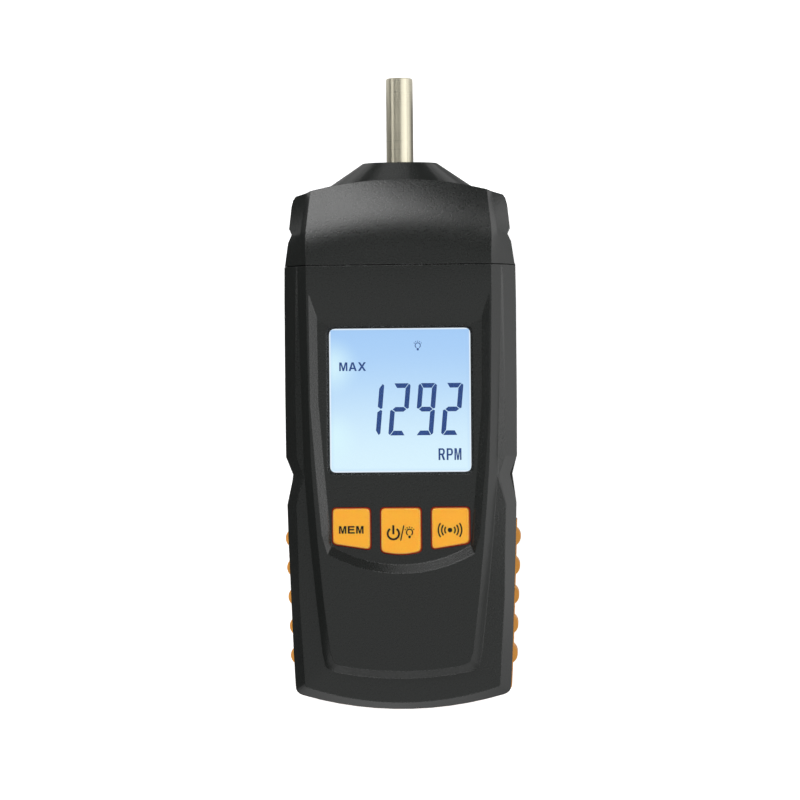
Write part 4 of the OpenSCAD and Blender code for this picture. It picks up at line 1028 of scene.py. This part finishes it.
@dataclass(frozen=True)
class DigitStyle:
    """Shape of a seven-segment digit, in pixels.

    Args:
        width: Width without its slant.
        height: Height.
        stroke: Thickness of a segment.
        gap: Gap between segments.
        slant: Shift to the right for each unit of height.
    """

    width: float = 18.4
    height: float = 52.1
    stroke: float = 4.7
    gap: float = 0.9
    slant: float = 0.088

    SEGMENTS = {"0": "abcdef", "1": "bc", "2": "abged", "3": "abgcd", "4": "fgbc", "5": "afgcd",
                "6": "afgedc", "7": "abc", "8": "abcdefg", "9": "abcdfg"}

    def shapes(self) -> dict[str, list[Point]]:
        """Returns each segment's corners, upwards from the digit's lower left corner."""
        w, h, t, g = self.width, self.height, self.stroke, self.gap / 2
        m, c, tip = h / 2, t * 0.35, t * 0.4
        top = [(c + g, h), (w - c - g, h), (w - t - g, h - t), (t + g, h - t)]
        side = [(w, h - c - g), (w, m + c / 2 + g), (w - c, m + g), (w - t, m + t / 2 + g),
                (w - t, h - t - g), (w - c, h - g)]
        middle = [(tip + g, m), (t + g, m + t / 2), (w - t - g, m + t / 2), (w - tip - g, m),
                  (w - t - g, m - t / 2), (t + g, m - t / 2)]
        across, down = [(w - x, y) for x, y in side], [(x, h - y) for x, y in side]
        return {"a": top, "b": side, "c": down, "d": [(x, h - y) for x, y in top],
                "e": [(w - x, y) for x, y in down], "f": across, "g": middle}

    def draw(self, sheet: Sheet, text: str, corner: Point, pitch: float) -> None:
        """Draws digits on a sheet.

        Args:
            sheet: The sheet.
            text: The digits.
            corner: Lower left corner of the first digit.
            pitch: Distance from digit to digit.
        """
        shapes = self.shapes()
        left, bottom = corner
        for i, digit in enumerate(text):
            for name in self.SEGMENTS[digit]:
                sheet.polygon([(left + i * pitch + x + y * self.slant, bottom - y)
                               for x, y in shapes[name]])


def draw_bulb(sheet: Sheet, centre: Point, radius: float, width: float) -> None:
    """Draws the sign of a lamp: a bulb, its socket and five rays above it.

    Args:
        sheet: The sheet that it is drawn on.
        centre: Centre of the bulb.
        radius: Radius of the bulb.
        width: Width of its lines.
    """
    x, y = centre
    sheet.arc(centre, radius, -58, 238, width)
    half, top, bottom = radius * 0.42, y + radius * 1.05, y + radius * 1.9
    sheet.polygon([(x - half, top), (x + half, top), (x + half * 0.8, bottom),
                   (x - half * 0.8, bottom)])
    for angle in (35, 62.5, 90, 117.5, 145):
        sheet.stroke([around(centre, radius * far, angle) for far in (1.42, 1.85)], width * 0.9)


@dataclass
class SubAssembly:
    """A group of the meter's pieces.

    Args:
        name: What the group is.
        finishes: The finish of each CAD node in it.
        pieces: The thin pieces added to it.
    """

    name: str
    finishes: dict[str, Finish] = field(default_factory=dict)
    pieces: list[bpy.types.Object] = field(default_factory=list)

    def dress(self, nodes: Nodes) -> None:
        """Gives each of the group's nodes its finish.

        Args:
            nodes: The CAD nodes by name.
        """
        for name, finish in self.finishes.items():
            mesh = nodes[name].data
            mesh.materials.clear()
            mesh.materials.append(finish.material())

    def decorate(self) -> None:
        """Adds what is printed or lit on the group's nodes."""

    def build(self, nodes: Nodes) -> None:
        """Dresses and decorates the group, and reports it.

        Args:
            nodes: The CAD nodes by name.
        """
        self.dress(nodes)
        self.decorate()
        LOG.info("%s: %d nodes, %d added pieces", self.name, len(self.finishes),
                 len(self.pieces))


@dataclass
class Shells(SubAssembly):
    """The case: moulded shells, whose curved faces are shaded smoothly."""

    def dress(self, nodes: Nodes) -> None:
        """Gives the nodes their finishes, and smooths the plastic shells.

        Args:
            nodes: The CAD nodes by name.
        """
        super().dress(nodes)
        for name, finish in self.finishes.items():
            if finish is CASE:
                Smoothing().apply(nodes[name])


@dataclass
class Display(SubAssembly):
    """The display: its figures lie on the glass, below the lens.

    Args:
        lift: Height of the figures above the glass, in metres.
        reading: The speed shown.
        corner: Lower left corner of its first digit, in pixels.
        pitch: Distance from digit to digit.
        mode_box: Box of the word for the largest speed.
        unit_box: Box of the unit.
        bulb: Centre of the sign for the backlight.
    """

    lift: float = 0.02 * MM
    reading: str = "1292"
    corner: Point = (361.5, 435.4)
    pitch: float = 26.4
    mode_box: Box = (339.4, 361.9, 366.3, 370.6)
    unit_box: Box = (437.7, 448.6, 461.0, 460.4)
    bulb: Point = (418.2, 345.6)

    def decorate(self) -> None:
        """Adds the figures."""
        sheet = Sheet(top_of("lcd_glass") + self.lift)
        DigitStyle().draw(sheet, self.reading, self.corner, self.pitch)
        sheet.words("MAX", self.mode_box, Lettering())
        sheet.words("RPM", self.unit_box, Lettering(0.26, 0.14, 0.16))
        draw_bulb(sheet, self.bulb, 2.6, 0.8)
        self.pieces.append(sheet.lay("display_figures", "housing", SEGMENT))


@dataclass
class Keypad(SubAssembly):
    """The three keys with their signs.

    Args:
        lift: Height of the signs above the keys, in metres.
        memory_box: Box of the memory key's word, in pixels.
        power_ring: Centre of the power sign's ring.
        power_bar: Ends of the line that cuts the ring.
        slash: Ends of the line between the power sign and the bulb.
        bulb: Centre of the bulb.
        waves: Centre of the waves on the measuring key.
        wave_arcs: Radius of each wave, with half its angle in degrees.
    """

    lift: float = 0.01 * MM
    memory_box: Box = (337.7, 525.7, 362.4, 533.3)
    power_ring: Point = (392.2, 533.6)
    power_bar: tuple[Point, Point] = ((392.2, 525.2), (392.2, 534.2))
    slash: tuple[Point, Point] = ((402.8, 525.4), (399.4, 540.6))
    bulb: Point = (408.4, 532.4)
    waves: Point = (448.9, 530.4)
    wave_arcs: tuple[Point, ...] = ((5.2, 38), (8.3, 38), (11.7, 36))

    KEYS = ("mem", "power", "measure")

    def decorate(self) -> None:
        """Adds the signs."""
        sheets = [Sheet(top_of(f"{key}_key") + self.lift) for key in self.KEYS]
        memory, power, measure = sheets
        memory.words("MEM", self.memory_box, Lettering(0.25, 0.2, 0.16))
        power.arc(self.power_ring, 5.7, 125, 415, 2.0)
        power.stroke(self.power_bar, 2.1)
        power.stroke(self.slash, 1.2)
        draw_bulb(power, self.bulb, 3.1, 1.2)
        measure.disc(self.waves, 2.3)
        for radius, spread in self.wave_arcs:
            for middle in (0, 180):
                measure.arc(self.waves, radius, middle - spread, middle + spread, 1.5)
        for key, sheet in zip(self.KEYS, sheets):
            self.pieces.append(sheet.lay(f"{key}_sign", f"{key}_button", INK))


@dataclass(frozen=True)
class Softbox:
    """A studio lamp with an even rectangular face.

    Args:
        name: Its name.
        place: Where it stands, in metres.
        aim: The point that it faces.
        size: Width and height of its face.
        power: Its power, in watts.
    """

    name: str
    place: Place
    aim: Place
    size: Point
    power: float

    def build(self) -> None:
        """Adds the lamp."""
        data = bpy.data.lights.new(self.name, "AREA")
        data.shape = "RECTANGLE"
        data.size, data.size_y = self.size
        data.energy = self.power
        lamp = placed(self.name, data)
        lamp.location = self.place
        way = Vector(self.aim) - Vector(self.place)
        lamp.rotation_euler = way.to_track_quat("-Z", "Y").to_euler()


@dataclass(frozen=True)
class Surroundings:
    """What a glossy surface shows of the room and of the table, as brightnesses.

    Args:
        dim: The room to the left, overhead towards the spindle, and elsewhere.
        ceiling: The room right above the meter.
        right_wall: The room low to the right.
        near_wall: The room low beyond the tail.
        far_left: The table far to the left.
        near_left: The table right beside the meter, on its left.
        near_right: The table right beside the meter, on its right.
        far_right: The table far to the right.
        beyond_tail: The table beyond the tail.
        beyond_head: The table beside and beyond the spindle.
    """

    dim: float = 0.08
    ceiling: float = 0.5
    right_wall: float = 1.0
    near_wall: float = 0.5
    far_left: float = 0.04
    near_left: float = 0.45
    # near_right: The table just right of the meter, in the meter's painted shadow.
    near_right: float = 0.25
    far_right: float = 1.0
    beyond_tail: float = 0.5
    beyond_head: float = 1.0

    # The stretches of table over which its brightness changes, in metres
    LEFT_FADE = (-75 * MM, -45 * MM)
    SHADOW_FADE = (-5 * MM, 15 * MM)
    RIGHT_FADE = (30 * MM, 90 * MM)
    RIGHT_TAIL_FADE = (-110 * MM, -20 * MM)
    TAIL_FADE = (100 * MM, 140 * MM)
    HEAD_FADE = (88 * MM, 108 * MM)

    def room(self, tree: Tree) -> Socket:
        """Returns the room's colour by direction, in the world's tree.

        Args:
            tree: The world's tree.
        """
        right, far, _ = tree.axes(tree.node("TexCoord").outputs["Generated"])
        above = tree.ramp(-far, -0.09, 0.0, self.dim, self.ceiling) * tree.ramp(
            right, -0.5, -0.15, 0.2, 1.0)
        wall = tree.ramp(right, 0.5, 0.95, 0.0, self.right_wall)
        near = tree.ramp(-far, 0.7, 0.95, 0.0, self.near_wall)
        glow = above.most(wall).most(near)
        return tree.mix(glow, BLACKEST, WHITEST)

    def table(self, tree: Tree) -> Socket:
        """Returns the table's painted light and shadow by place, in its material's tree.

        Args:
            tree: The material's tree.
        """
        x, y, _ = tree.axes()
        left = tree.ramp(x, *self.LEFT_FADE, self.far_left, self.near_left)
        # Past this stretch the table dips to near_right: a painted shadow of the meter
        middle = left - tree.ramp(x, *self.SHADOW_FADE, 0.0, self.near_left - self.near_right)
        right = tree.ramp(x, *self.RIGHT_FADE, 0.0, self.far_right) * tree.ramp(
            y, *self.RIGHT_TAIL_FADE, 0.45, 1.0)
        tail = tree.ramp(-y, *self.TAIL_FADE, 0.0, self.beyond_tail)
        head = tree.ramp(y, *self.HEAD_FADE, 0.0, self.beyond_head)
        glow = (middle + right).most(tail).most(head)
        return tree.mix(glow, BLACKEST, WHITEST)


@dataclass
class Studio:
    """Lights, backdrop and camera.

    Args:
        softboxes: The lamps.
        ambient: Brightness of the room round the meter.
        bounce: How much light the table throws back on the meter.
        surroundings: What glossy surfaces show.
        table_width: Width of the table top, in metres.
        table_gap: How far it is below the meter.
    """

    softboxes: tuple[Softbox, ...]
    ambient: float = 0.36
    bounce: float = 0.35
    surroundings: Surroundings = Surroundings()
    table_width: float = 2.4
    table_gap: float = 0.2 * MM

    def build(self) -> None:
        """Builds the studio."""
        scene = bpy.context.scene
        scene.view_settings.view_transform = "Standard"
        scene.world = bpy.data.worlds.new("studio")
        tree = Tree(scene.world)
        lit, shown, white = (
            tree.node("Background", inputs={0: colour, 1: strength}).outputs[0]
            for colour, strength in ((WHITEST, self.ambient),
                                     (self.surroundings.room(tree), 1.0), (WHITEST, 1.0)))
        tree.node("OutputWorld", inputs={0: tree.by_ray(lit, shown, white)})
        for box in self.softboxes:
            box.build()
        self.lay_floor()
        VIEW.build(scene)

    def lay_floor(self) -> None:
        """Adds the white table top that the meter lies on."""
        mesh = bpy.data.meshes.new("table_top")
        half = self.table_width / 2
        mesh.from_pydata([(-half, -half, 0), (half, -half, 0), (half, half, 0),
                          (-half, half, 0)], [], [(0, 1, 2, 3)])
        finish = bpy.data.materials.new("table_top")
        tree = Tree(finish)
        dull = tree.node("BsdfDiffuse", inputs={0: (self.bounce,) * 3})
        # Glossy rays see the table's painted light and painted shadow, as emission
        shown = tree.node("Emission", inputs={0: self.surroundings.table(tree)})
        pale = tree.node("BsdfPrincipled", inputs={
            "Base Color": (0.85, 0.85, 0.85), "Roughness": 0.9, "Emission Color": WHITEST,
            "Emission Strength": 0.7})
        tree.output(tree.by_ray(*(kind.outputs[0] for kind in (dull, shown, pale))))
        mesh.materials.append(finish)
        floor = placed("table_top", mesh)
        floor.location.z = -self.table_gap


STUDIO = Studio(softboxes=(
    Softbox("right_box", (0.77, 0.12, 0.91), (0, 0, 0.02), (0.9, 1.1), 5.2),
    Softbox("head_box", (-0.3, 0.6, 0.84), (0, 0.06, 0.03), (0.52, 0.6), 5.2),
    Softbox("front_box", (-0.25, 0.95, 0.45), (0, 0, 0.03), (0.6, 0.3), 0.6),
    Softbox("left_strip", (-1.05, 0.3, 0.6), (0, 0.1, 0.02), (0.25, 0.5), 1.1),
    Softbox("tail_box", (0.0, -0.5, 0.95), (0, 0.03, 0.03), (0.7, 0.4), 0.1),
    Softbox("right_low", (0.9, 0.1, 0.14), (0, 0, 0.02), (0.9, 0.2), 0.55),
    Softbox("foot_low", (0.0, -0.95, 0.3), (0, -0.08, 0.03), (0.9, 0.2), 2.3),
))

def sub_assemblies() -> list[SubAssembly]:
    """Returns the meter's groups of pieces, with the finish of each node."""
    plain = ("front_shell", "rear_shell", "head_cover", "nose_collar", "battery_door")
    return [
        Shells("case", {**dict.fromkeys(plain, CASE), "side_grip": GRIP,
                        "case_screws": SCREW}),
        Display("display", {
            "display_lens": LENS, "lcd_glass": LIT, "lcd_frame": WHITE,
            "backlight_panel": WHITE, "backlight_lamps": WHITE, "contact_strip": ZEBRA}),
        Keypad("keypad", {
            "mem_key": KEY, "power_key": KEY, "measure_key": KEY, "mem_plunger": BLACK,
            "power_plunger": BLACK, "measure_plunger": BLACK, "switch_bodies": BLACK}),
        SubAssembly("spindle", {
            "spindle": STEEL, "front_outer_ring": BEARING, "front_ball_set": BRASS,
            "front_inner_ring": BEARING, "rear_outer_ring": BEARING, "rear_ball_set": BRASS,
            "rear_inner_ring": BEARING, "bearing_carrier": ALLOY, "bearing_spacer": BEARING,
            "spindle_clip": SPRING, "encoder_disc": BLACK, "felt_seal": FELT,
            "carrier_screws": SCREW}),
        SubAssembly("electronics", {
            "main_board": BOARD, "controller_chip": BLACK, "timing_crystal": PLATED,
            "board_components": PARTS, "board_screws": SCREW, "optical_sensor": BLACK,
            "sensor_board": BOARD, "sensor_ribbon": RIBBON, "ribbon_plugs": WHITE,
            "sensor_screws": SCREW}),
        SubAssembly("power", {
            "battery_cells": CELLS, "contact_springs": PLATED, "contact_plates": PLATED,
            "battery_leads": LEAD}),
    ]


def main() -> None:
    """Builds the scene and reports its pieces."""
    logging.basicConfig(level=logging.INFO, format="%(name)s: %(message)s")
    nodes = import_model()["nodes"]
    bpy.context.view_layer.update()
    groups = sub_assemblies()
    for group in groups:
        group.build(nodes)
    missed = set(nodes) - {name for group in groups for name in group.finishes}
    LOG.info("nodes without a finish: %s", sorted(missed) or "none")
    STUDIO.build()


if __name__ == "__main__":
    main()
